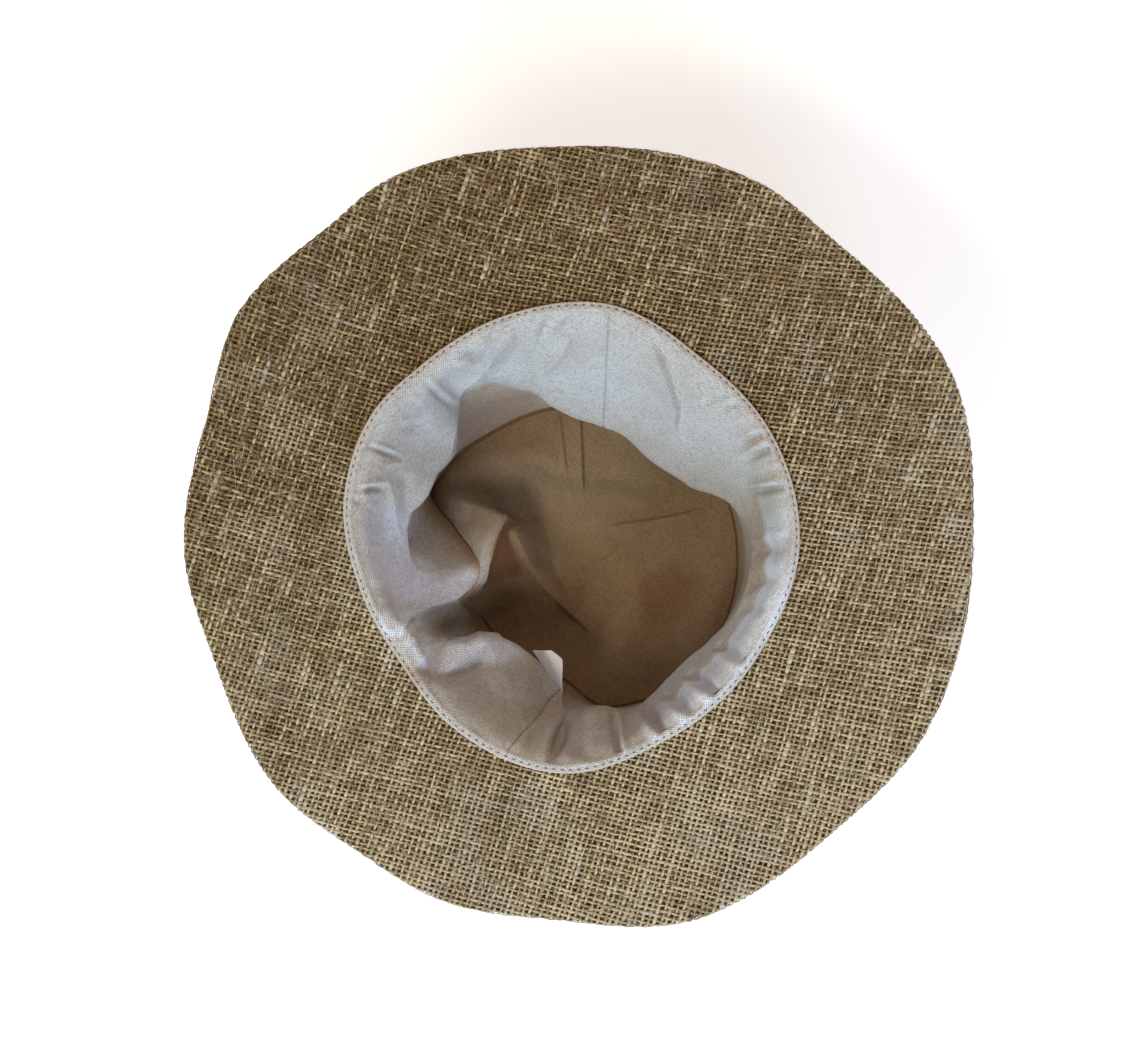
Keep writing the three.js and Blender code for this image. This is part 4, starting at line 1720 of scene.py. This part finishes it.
@dataclass
class Brim:
    """The brim: two plies of jute turned in together at the edge."""

    form: HatForm
    weave: OpenWeave = OpenWeave()
    face_depth: float = 0.42
    shade_depth: float = 1.15
    under_reach: float = 2.6
    hem_share: float = 0.012
    around: int = 360
    flat_rows: int = 16
    turned_rows: int = 9
    outer_rows: int = 24
    upturn: Pairs = ((-0.007, 1.1), (-0.006, 0.6), (-0.004, 0.2))

    @property
    def roll(self) -> float:
        """The radius that the edge turns round."""
        return self.form.sizes.brim_thickness / 2

    def build(self) -> None:
        """Build and dress every piece of the brim."""
        yarn = JuteYarnFinish().material()
        for system in YarnSystem:
            self.yarns(system).data.materials.append(yarn)
        self.shade().data.materials.append(JuteShadeFinish().material())
        fibres = LooseFibres(self.form, self.weave.row_turn)
        fibres.scatter().data.materials.append(FibreFinish().material())
        self.outer_ply().data.materials.append(JuteClothFinish().material())

    def yarns(self, system: YarnSystem) -> Piece:
        """Weave one system of yarns over the upturned face and round the edge.

        Args:
            system: Rows or columns.

        Returns:
            The piece.
        """
        net = YarnNet(self.weave, system)
        samples = net.samples()
        _, share, outside = self.form.brim_frame(samples.plan)
        around_edge = (math.pi - 1) * self.roll
        keep = (share > self.hem_share) & (outside < around_edge + self.under_reach)
        samples.lift = samples.lift * (1 - 0.6 * smoothstep(outside, -3.5, -0.8))

        def place(plan: Array, lift: Array) -> Array:
            """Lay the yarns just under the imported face."""
            return self.form.over_the_edge(plan, lift - self.face_depth)

        return BRIM_UNDER.join(
            net.build(f"brim_under_{system.value}", place, keep, samples))

    def shade(self) -> Piece:
        """Make the dark sheet that shows between the yarns, darkened by painted shade.

        Returns:
            The piece.
        """
        beyond = np.linspace(0, math.pi * self.roll + 2, self.turned_rows)
        share = np.append(np.linspace(0, 0.985, self.flat_rows), np.ones(len(beyond)))
        beyond = np.append(np.zeros(self.flat_rows), beyond)[:, None]
        angle, share = np.broadcast_arrays(full_turn(self.around), share[:, None])
        out = beyond - (beyond > 0) * self.roll
        plan = self.form.brim_plan(angle, share)
        plan = plan + self.form.direction(angle) * out[..., None]
        points = self.form.over_the_edge(plan, np.full(angle.shape, -self.shade_depth))
        return BRIM_UNDER.join(build_object(
            "brim_under_shade", points, [grid_faces(*angle.shape, True)], plan,
            facing=UP))

    def outer_ply(self) -> Piece:
        """Make the ply that faces the floor, turned up to the crown at its hole.

        Returns:
            The piece.
        """
        turned, rise = np.array(self.upturn).T
        share = np.append(turned, np.linspace(0, 0.99, self.outer_rows))
        rise = np.append(rise, np.zeros(self.outer_rows))[:, None]
        angle, share = np.broadcast_arrays(full_turn(self.around), share[:, None])
        plan = self.form.brim_plan(angle, share)
        height = (self.form.brim_height(angle, np.maximum(share, 0))
                  - self.form.sizes.brim_thickness + rise)
        turn = math.radians(-self.weave.row_turn)
        x, y = plan[..., 0], plan[..., 1]
        uv = pair(x * math.cos(turn) - y * math.sin(turn),
                  x * math.sin(turn) + y * math.cos(turn))
        return Belonging("jute", ("brim_top",)).join(build_object(
            "brim_top_cloth", np.concatenate([plan, height[..., None]], axis=-1),
            [grid_faces(*angle.shape, True)], uv, facing=-UP))


@dataclass
class LooseFibres:
    """Fine fibres that stand off the brim's yarns, most of them along the weave."""

    form: HatForm
    row_turn: float
    column_turn: float = 71.0
    stray: float = 28.0
    count: int = 3000
    samples: int = 7
    lengths: tuple[float, float] = (3.5, 13)
    widths: tuple[float, float] = (0.05, 0.17)
    heights: tuple[float, float] = (0.2, 0.75)
    curl: float = 0.07
    sunk: float = 0.25
    seed: int = 31

    def scatter(self) -> Piece:
        """Scatter the fibres.

        Returns:
            The piece.
        """
        rng = np.random.default_rng(self.seed)
        angle = rng.uniform(0, 360, self.count)
        share = np.sqrt(rng.uniform(0.05, 0.99, self.count))
        start = self.form.brim_plan(angle, share)
        heading = np.radians(rng.choice([self.row_turn, self.column_turn], self.count)
                             + rng.normal(0, self.stray, self.count))[:, None]
        length = rng.uniform(*self.lengths, self.count)[:, None]
        bend = rng.normal(0, self.curl, self.count)[:, None]
        width = rng.uniform(*self.widths, self.count)[:, None]
        height = rng.uniform(*self.heights, self.count)[:, None]
        t = np.linspace(0, 1, self.samples)[None]
        turn = heading + bend * length * (t - 0.5)
        step, aside = pair(np.cos(turn), np.sin(turn)), pair(-np.sin(turn), np.cos(turn))
        step = step * (length / (self.samples - 1))[..., None]
        centre = start[:, None] + np.cumsum(step, axis=1) - step
        lift = height * np.sin(np.pi * t) ** 0.6 - self.sunk
        thin = width * np.sqrt(np.clip(4 * t * (1 - t), 0.05, 1))
        aside = aside * thin[..., None] / 2
        points = np.stack([self.form.over_the_edge(centre + aside * side, lift)
                           for side in (-1, 1)], axis=2)
        first = (np.arange(self.count)[:, None] * self.samples
                 + np.arange(self.samples - 1)).ravel() * 2
        faces = np.stack([first, first + 2, first + 3, first + 1], axis=-1)
        tone = np.repeat(rng.uniform(0.2, 1.0, self.count), 2 * self.samples)
        return BRIM_UNDER.join(build_object(
            "brim_loose_fibres", points, [faces], values={"tone": tone}, facing=UP))


@dataclass
class Crown:
    """The crown's jute: the wall and the tip, as they show from outside."""

    form: HatForm
    around: int = 360
    weave_radius: float = 75.0
    seam_height: float = 0.9
    follows_lining: Window = Window(1.0, 1.8)

    def build(self) -> None:
        """Build and dress the wall and the tip, whose weave lies flat in plan."""
        finish = JuteClothFinish("jute_crown").material()
        side = spaced_rings((1, 3, 16), (3, 5, 24), (5, 8, 46))
        tip = spaced_rings((8, 10, 24), (10, 12.98, 40))
        for piece in (self.sheet("crown_side", side, False),
                      self.sheet("crown_tip", tip, True)):
            piece.data.materials.append(finish)

    def sheet(self, node: str, rings: Array, planar: bool) -> Piece:
        """Make a closed sheet of the outer face.

        Args:
            node: The node that it stands for.
            rings: The ring of each row.
            planar: Whether the weave lies flat in plan.

        Returns:
            The piece.
        """
        form = self.form
        angle, ring = np.broadcast_arrays(full_turn(self.around), rings)
        normal = form.normal(angle, ring)
        pressed = np.minimum(crease_relief(form.face(angle, ring))[0], 0)
        moved = (self.seam_height * bump(ring, Ring.SEAM, 0.12)
                 + pressed * self.follows_lining.at(ring))
        points = (form.behind(angle, ring, form.sizes.floor_face)
                  + normal * moved[..., None])
        uv = points[..., :2] if planar else pair(
            np.radians(angle) * self.weave_radius, arc_lengths(points))
        return Belonging("jute", (node,)).join(build_object(
            node + "_cloth", points, [grid_faces(*angle.shape, True)], uv,
            facing=-normal))


@dataclass
class Lining:
    """The cotton lining: two wall panels, the tip, and the stitching round the hem.

    The windows hold rings, angles, or depths from 0 at the rim to 1 on the tip.
    """

    form: HatForm
    panel_columns: int = 480
    tip_columns: int = 720
    close_columns: tuple[float, ...] = (0.0008, 0.0016, 0.0026, 0.0038, 0.0052)
    weave_radius: float = 72.0
    hem_roll: float = 0.5
    roll: float = 0.5
    roll_rows: int = 7
    stitch_inset: float = 0.95
    tip_rumpling: float = 1.5
    seam_depth: float = 0.75
    seam_width: float = 0.6
    # Painted shade under the back wall's fold and on the plane beyond the dent's crest.
    back_shade: float = 0.3
    back_rings: Window = Window(5.05, 5.4, 6.5, 8)
    back_turns: Window = Window(96, 112, 134, 146)
    plane_shade: float = 0.7
    plane_turns: Window = Window(146, 158, 190, 206)
    plane_end: Window = Window(10.55, 11.0)
    hidden_seam_turns: Window = Window(178, 185, 206, 214)
    recess_turns: Window = Window(84, 95, 138, 150)
    recess_foot: Window = Window(0.72, 0.88)
    pocket_rings: Window = Window(5.2, 5.9)
    pocket_turns: Window = Window(156, 162, 186, 194)
    noise: SmoothNoise = field(default_factory=lambda: SmoothNoise(3))

    def build(self) -> None:
        """Build and dress every piece of the lining."""
        cotton = LiningFinish().material()
        top_seam = self.form.sizes.top_seam
        self.panel("lining_side_right", None, top_seam).data.materials.append(cotton)
        self.panel("lining_side_left", top_seam, None).data.materials.append(cotton)
        self.tip().data.materials.append(cotton)
        stitches = HemStitches(self.form, self.stitch_inset)
        stitches.sew().data.materials.append(StitchFinish().material())

    def depth_share(self, points: Array) -> Array:
        """How deep each point is in the crown, from 0 at the rim to 1 on the tip."""
        return np.clip(1 - points[..., 2] / self.form.sizes.crown_depth, 0, 1)

    def dent_crest(self, turn: Array) -> Array:
        """The ring of the dent's crest: it leaves ring 10 at its foot."""
        return 10.08 - 0.55 * smoothstep(turn, 185, 198)

    def painted_fold_shade(self, turn: Array, ring: Array) -> Array:
        """How much painted shade each point gets beside a sharp fold.

        Args:
            turn: The angle of each point, from 0 to 360.
            ring: Its ring.

        Returns:
            The painted shade from 0 to 1, under the back wall's fold and beyond the dent's
            crest.
        """
        crest = self.dent_crest(turn)
        back = self.back_rings.at(ring) * self.back_turns.at(turn)
        plane = (smoothstep(ring, crest, crest + 0.1) * (1 - self.plane_end.at(ring))
                 * self.plane_turns.at(turn))
        return self.back_shade * back + self.plane_shade * plane

    def foot_seam(self, turn: Array, distance: Array) -> Array:
        """The groove of the tip's seam, tucked away where the fold's edge hides it."""
        shown = 1 - 0.85 * self.hidden_seam_turns.at(turn)
        return bump(distance, 0.0, self.seam_width) * shown

    def hem_relief(self, angle: Array, inside: Array) -> Array:
        """Roll the cloth softly over the brim's hole, and gather it a little.

        Args:
            angle: The angle of each point.
            inside: Its distance in from the lining's edge.

        Returns:
            The relief in millimetres.
        """
        rolled = -self.hem_roll * bump(inside, 4.4, 2.4)
        gathers = (0.55 * self.noise.at(angle / 3.6, inside / 30, 4.5)
                   + 0.30 * self.noise.at(angle / 1.7, inside / 16, 14.5))
        return rolled + Window(2.0, 6.0, 9.0, 34.0).at(inside) * gathers

    def wrinkles(self, points: Array, inside: Array) -> Array:
        """Soft rumples all over the cloth."""
        x, y, z = (points[..., axis] for axis in range(3))
        broad = self.noise.at(x / 17 + z / 40, y / 17, z / 30)
        small = self.noise.at(x / 6.5, y / 6.5, z / 11 + 31)
        return smoothstep(inside, 2.0, 9.0) * (0.65 * broad + 0.28 * small)

    def panel_spread(self) -> Array:
        """Space a panel's columns evenly, with a few close ones beside its seams."""
        close = np.array(self.close_columns)
        even = np.linspace(0, 1, self.panel_columns - 2 * len(close))
        return np.sort(np.concatenate([even, close, 1 - close]))

    def edge_roll(self, angle: Array, edge: Array) -> Array:
        """Turn the folded edge under with a small roll.

        Args:
            angle: The angle of each column.
            edge: The panel's edge, in millimetres.

        Returns:
            The points of the roll, from under the edge up to it.
        """
        turn = np.linspace(0, math.pi, self.roll_rows)[::-1][:-1, None, None]
        out = np.pad(self.form.direction(angle), ((0, 0), (0, 1)))
        return edge + self.roll * (out * np.sin(turn) - UP * (1 - np.cos(turn)))

    def panel(self, name: str, start: Optional[float], end: Optional[float]
              ) -> Piece:
        """Make one wall panel, with its folded edge on the brim.

        Args:
            name: The node that it stands for.
            start: The first side's angle, or None where it follows the leaning seam.
            end: The other side's angle, or None where it follows the leaning seam.

        Returns:
            The piece.
        """
        rings = spaced_rings((0, 1, 8), (1, 2, 13), (2, 3, 29), (3, 4, 27), (4, 5, 25),
                             (5, 6, 25), (6, 7, 9), (7, 8, 9))
        leaning = self.form.label_seam_angle(rings)
        first = leaning - 360 if start is None else np.full_like(leaning, start)
        last = leaning if end is None else np.full_like(leaning, end)
        angle, ring = np.broadcast_arrays(
            towards(first, last, self.panel_spread()[None]), rings)
        points = self.form.face(angle, ring)
        normal = grid_normals(points, False)
        normal[rings[:, 0] <= Ring.HEM] = UP
        inside = arc_lengths(points)
        turn = np.mod(angle, 360)
        across = arc_lengths(points.swapaxes(0, 1)).T
        to_seam = np.minimum(across, across[:, -1:] - across)
        side_seam = 0.6 * bump(to_seam, 0.0, 0.32) * smoothstep(inside, 0.5, 3.0)
        foot_seam = self.foot_seam(turn, inside[-1:] - inside)
        relief, painted_crease_shade = crease_relief(points)
        deepest = -0.4 - 9.0 * smoothstep(ring, 1.08, 2.0)
        raised, sunk = np.maximum(relief, 0), np.clip(relief, deepest, 0)
        relief = (raised * smoothstep(inside, 0.8, 3.6)
                  + sunk * smoothstep(inside, 1.6, 5.5)
                  + self.hem_relief(angle, inside) + self.wrinkles(points, inside)
                  + 0.35 * bump(to_seam, 1.6, 1.2) * smoothstep(inside, 3, 7)
                  - self.seam_depth * (side_seam + foot_seam)
                  - 0.14 * bump(inside, self.stitch_inset, 0.6))
        points = points + normal * relief[..., None]
        share = self.depth_share(points)
        # Painted shade: the walls brown towards the tip's seam, more in the side pocket,
        # but not in the back wall's recess, which is paler near its foot.
        recess = self.recess_turns.at(turn)
        pocket = self.pocket_rings.at(ring) * self.pocket_turns.at(turn)
        painted_recess_shade = (0.30 * smoothstep(ring, 5.8, 8.0) * (1 - recess) + 0.12 * pocket
                   - 0.16 * recess * self.recess_foot.at(share))
        # The seam value is the seams' grooves, and painted shade along the pleats' lines.
        seam = np.clip(np.maximum(0.55 * side_seam + foot_seam, 0.8 * painted_crease_shade), 0, 1)
        fold_shade_share = self.painted_fold_shade(turn, ring)
        rolled = self.edge_roll(angle[0], points[0])
        points = np.concatenate([rolled, points])

        def pad(values: Array, mode: str = "constant") -> Array:
            """Give the rolled edge's rows a value too."""
            rows = ((len(rolled), 0),) + ((0, 0),) * (values.ndim - 1)
            return np.pad(values, rows, mode)

        uv = pair(np.radians(pad(angle, "edge")) * self.weave_radius, pad(inside))
        # depth and pale carry painted shade and painted light to the cotton.
        values = {
            "depth": self.depth_share(points) + pad(painted_recess_shade), "seam": pad(seam),
            "pale": np.clip(painted_light_and_shade(points) - pad(fold_shade_share), 0, 1),
            "hem": 0.65 * (1 - smoothstep(pad(inside), 0.15, 0.7))}
        faces = grid_faces(len(points), self.panel_columns, False)
        return Belonging("lining_cotton", (name,)).join(build_object(
            name + "_cloth", points, [faces], uv, values, pad(normal, "edge")))

    def tip(self) -> Piece:
        """Make the lining's tip, in to its middle.

        Returns:
            The piece.
        """
        rings = spaced_rings((8, 9, 7), (9, 10, 17), (10, 11, 33), (11, 12, 17),
                             (12, 12.97, 9))
        angle, ring = np.broadcast_arrays(full_turn(self.tip_columns), rings)
        points = self.form.face(angle, ring)
        normal = self.form.normal(angle, ring)
        inside = arc_lengths(points)
        groove = self.foot_seam(angle, inside)
        relief, painted_crease_shade = crease_relief(points)
        relief = (relief + self.tip_rumpling * self.wrinkles(points, inside + 9)
                  - self.seam_depth * groove)
        points = points + normal * relief[..., None]
        vertices = np.vstack([points.reshape(-1, 3), points[-1].mean(axis=0)])
        middle = len(vertices) - 1
        last = middle - self.tip_columns + np.arange(self.tip_columns)
        fan = np.stack([last, np.roll(last, -1), np.full_like(last, middle)], axis=-1)
        # Painted shade: the whole tip is browned as deep in the crown, less so on the
        # facet between its seam and the dent's crest.
        crest = self.dent_crest(angle)
        facet = ((1 - smoothstep(ring, crest - 0.07, crest + 0.06))
                 * (1 - smoothstep(angle, 194, 200))
                 * (0.04 * smoothstep(angle, 146, 154)
                    + 0.12 * smoothstep(angle, 158, 186)))
        seam, paler_by_painted_light, fold_shade_share = [
            np.append(share, 0) for share in
            (np.maximum(groove, 0.8 * painted_crease_shade), facet, self.painted_fold_shade(angle, ring))]
        values = {"depth": 0.8 + 0.2 * self.depth_share(vertices) - paler_by_painted_light,
                  "pale": np.clip(painted_light_and_shade(vertices) - fold_shade_share, 0, 1),
                  "seam": seam, "hem": np.zeros(len(vertices))}
        return Belonging("lining_cotton", ("lining_tip",)).join(build_object(
            "lining_tip_cloth", vertices, [grid_faces(*angle.shape, True), fan],
            vertices[:, :2], values, np.vstack([normal.reshape(-1, 3), UP])))


@dataclass
class HemStitches:
    """The line of stitches that holds the lining's folded edge on the brim."""

    form: HatForm
    inset: float
    pitch: float = 3.3
    length: float = 1.5
    radius: float = 0.21
    arch: float = 0.34
    sunk: float = 0.28
    sides: int = 6
    rings: int = 7
    route_steps: int = 1440

    def sew(self) -> Piece:
        """Sew the folded edge to the brim with one line of stitches.

        Returns:
            The piece.
        """
        size, sides, rings = self.form.sizes, self.sides, self.rings
        turn = np.linspace(0, 360, self.route_steps + 1)
        line = self.form.direction(turn) * (LINING_EDGE.at(turn) - self.inset)
        line = line + np.array(size.opening_centre)
        walked = arc_lengths(line[:, None])[:, 0]
        whole = walked[-1]
        count = int(round(whole / self.pitch))
        number = np.arange(count)[:, None]
        along = np.linspace(-0.5, 0.5, rings)
        around = np.linspace(0, 2 * math.pi, sides, endpoint=False)
        reach = (number * whole / count + along * self.length) % whole
        plan = pair(*(np.interp(reach, walked, line[:, axis]) for axis in range(2)))
        aside = leftward(plan)
        arch = self.arch * (1 - (2 * along) ** 4) - self.sunk
        thin = self.radius * (1 - 0.45 * (2 * np.abs(along)) ** 3)
        wide, high = [way(around) * thin[:, None] for way in (np.cos, np.sin)]
        flat = (plan[:, :, None] + aside[:, :, None] * wide[..., None]
                + self.form.shift[:2])
        height = np.broadcast_to(
            size.hem_face + self.form.shift[2] + arch[:, None] + high, flat.shape[:-1])
        points = np.concatenate([flat, height[..., None]], axis=-1)
        first = number * rings * sides
        faces = (first[..., None] + grid_faces(rings, sides, True)).reshape(-1, 4)
        ends = np.arange(sides)
        caps = np.concatenate([first + ends[::-1], first + (rings - 1) * sides + ends])
        uv = pair(reach[..., None], around * self.radius)
        return Belonging("lining_cotton").join(build_object(
            "lining_hem_stitches", points, [faces, caps], uv,
            facing=points - points.mean(axis=2, keepdims=True)))


@dataclass
class CareLabel:
    """The blank label that stands out of the leaning seam."""

    form: HatForm
    thickness: float = 0.4
    clearance: float = 0.5
    packed_thickness: float = 0.5
    size: tuple[float, float] = (12.0, 18.0)
    ends: tuple[float, float] = (5.05, 5.65)
    top_reach: tuple[float, float, float] = (0.0, 17.5, 1.0)
    bottom_reach: tuple[float, float, float] = (-13.0, 20.0, 2.5)
    corner_cut: float = 0.25
    columns: int = 36
    rows: int = 48
    curl: float = 0.9
    set_back: float = 0.3

    def build(self) -> None:
        """Build and dress the label."""
        self.tape().data.materials.append(LabelFinish().material())

    def tape(self) -> Piece:
        """Make the tape as a thin closed sheet with a soft curl.

        Returns:
            The piece.
        """
        angle = self.form.label_seam_angle(np.full(2, Ring.FOLD.value))
        front = self.clearance + self.packed_thickness / 2
        top, bottom = self.form.behind(angle, np.array(self.ends), -front)
        share = np.linspace(0, 1, self.columns)[None, :, None]
        reach = np.linspace(0, 1, self.rows)[:, None, None]
        uv = pair(share * self.size[0], reach * self.size[1])
        reach = reach * (1 - self.corner_cut * np.maximum(1 - share * 3, 0))
        middle = towards(top + np.array(self.top_reach) * reach,
                         bottom + np.array(self.bottom_reach) * reach, share)
        normal = grid_normals(middle, False)
        wave = self.curl * (np.sin(np.pi * share) * reach ** 2
                            + 0.25 * np.sin(2.4 * np.pi * reach) * (1 - share))
        middle = middle + normal * (wave - self.set_back)
        half = normal * self.thickness / 2
        front_faces = grid_faces(self.rows, self.columns, False)
        total = self.rows * self.columns
        number = np.arange(total).reshape(self.rows, self.columns)
        border = np.concatenate([number[0], number[1:, -1], number[-1, -2::-1],
                                 number[-2:0:-1, 0]])
        after = np.roll(border, -1)
        rim = np.stack([border, border + total, after + total, after], axis=-1)
        faces = np.concatenate([front_faces, front_faces[:, ::-1] + total])
        return Belonging("label_cloth", ("care_label",)).join(build_object(
            "care_label_tape", np.stack([middle + half, middle - half]), [faces, rim],
            np.stack([uv, uv]), facing=np.stack([normal, -normal])))


# ---- studio


@dataclass(frozen=True)
class SoftLight:
    """A soft light, wide or square, that points at the hat."""

    name: str
    place: tuple[float, float, float]
    width: float
    height: float
    power: float
    colour: Colour

    def hang(self, target: Vector) -> None:
        """Hang the light and turn it to the target."""
        lamp = bpy.data.lights.new(self.name, "AREA")
        lamp.shape = "RECTANGLE"
        lamp.size, lamp.size_y = self.width, self.height
        lamp.energy, lamp.color = self.power, self.colour
        holder = bpy.data.objects.new(self.name, lamp)
        bpy.context.scene.collection.objects.link(holder)
        holder.location = self.place
        holder.visible_camera = False
        away = target - Vector(self.place)
        holder.rotation_euler = away.to_track_quat("-Z", "Y").to_euler()


@dataclass
class Studio:
    """A camera straight above, soft light from low down, and a plain pale floor."""

    camera_place: tuple[float, float, float] = (-0.0034, 0.0025, 0.695)
    lens: float = 47.7
    floor_size: float = 8.0
    lights: tuple[SoftLight, ...] = (
        SoftLight("window", (0.0, -0.97, 0.566), 1.6, 0.28, 11.6, (0.33, 0.67, 1.0)),
        SoftLight("skylight", (-0.406, -0.483, 0.951), 0.6, 0.35, 6.0,
                  (0.98, 0.98, 0.78)),
        SoftLight("near_window", (0.433, -0.751, 0.727), 0.35, 0.35, 3.4,
                  (0.76, 0.74, 1.0)),
        SoftLight("left_window", (-0.84, 0.0, 0.76), 0.6, 0.35, 2.2, (0.52, 0.68, 1.0)),
        SoftLight("warm_room", (0.0, 0.778, 0.828), 0.6, 0.35, 2.2, (1.0, 0.78, 0.62)))
    sky_strength: float = 0.48
    sky_colour: Colour = (1.0, 0.77, 0.54)

    def build(self) -> None:
        """Set up the camera, the lights, the sky and the floor."""
        self.camera()
        for light in self.lights:
            light.hang(Vector((0.0, 0.0, 0.05)))
        self.sky()
        self.floor()
        bpy.context.scene.view_settings.view_transform = "Standard"

    def camera(self) -> None:
        """Put the camera over the hat, looking straight down."""
        camera = bpy.data.cameras.new("camera")
        camera.lens = self.lens
        camera.clip_start = 0.01
        holder = bpy.data.objects.new("camera", camera)
        holder.location = self.camera_place
        bpy.context.scene.collection.objects.link(holder)
        bpy.context.scene.camera = holder

    def sky(self) -> None:
        """Make the room: bright walls round a dim ceiling."""
        world = bpy.data.worlds.new("room")
        bpy.context.scene.world = world
        world.use_nodes = True
        canvas = Canvas(world.node_tree)
        way = canvas.node("ShaderNodeTexCoord").outputs["Generated"]
        height = canvas.node("ShaderNodeSeparateXYZ", {0: way}).outputs[2]
        ramp = canvas.node("ShaderNodeValToRGB", {0: height})
        stops = ramp.color_ramp.elements
        stops[0].position, stops[0].color = 0.0, (1.0, 1.0, 1.0, 1.0)
        stops[1].position, stops[1].color = 1.0, (0.12, 0.12, 0.12, 1.0)
        for position, level in ((0.55, 0.9), (0.8, 0.2)):
            stops.new(position).color = (level, level, level, 1.0)
        background = world.node_tree.nodes["Background"]
        warm = canvas.mix(1.0, ramp.outputs[0], self.sky_colour, "MULTIPLY")
        world.node_tree.links.new(warm, background.inputs[0])
        background.inputs[1].default_value = self.sky_strength

    def floor(self) -> None:
        """Lay the floor."""
        half = self.floor_size / 2 / MM
        corners = np.array([[-half, -half, 0], [half, -half, 0], [half, half, 0],
                            [-half, half, 0]], float)
        floor = build_object("studio_floor", corners, [np.array([[0, 1, 2, 3]])])
        floor.data.materials.append(FloorFinish().material())
        floor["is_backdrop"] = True


def main() -> None:
    """Build the studio and the hat, piece by piece."""
    logging.basicConfig(level=logging.INFO, format="%(name)s %(message)s")
    packed_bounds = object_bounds()
    form = HatForm(HatSizes())
    Studio().build()
    for part in (Brim(form), Crown(form), Lining(form), CareLabel(form)):
        part.build()
        LOG.info("%s is dressed", type(part).__name__)
    sizes = {"packed": packed_bounds, "dressed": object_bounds()}
    ({key: [list(map(float, corner)) for corner in box]
               for key, box in sizes.items()})


if __name__ == "__main__":
    main()
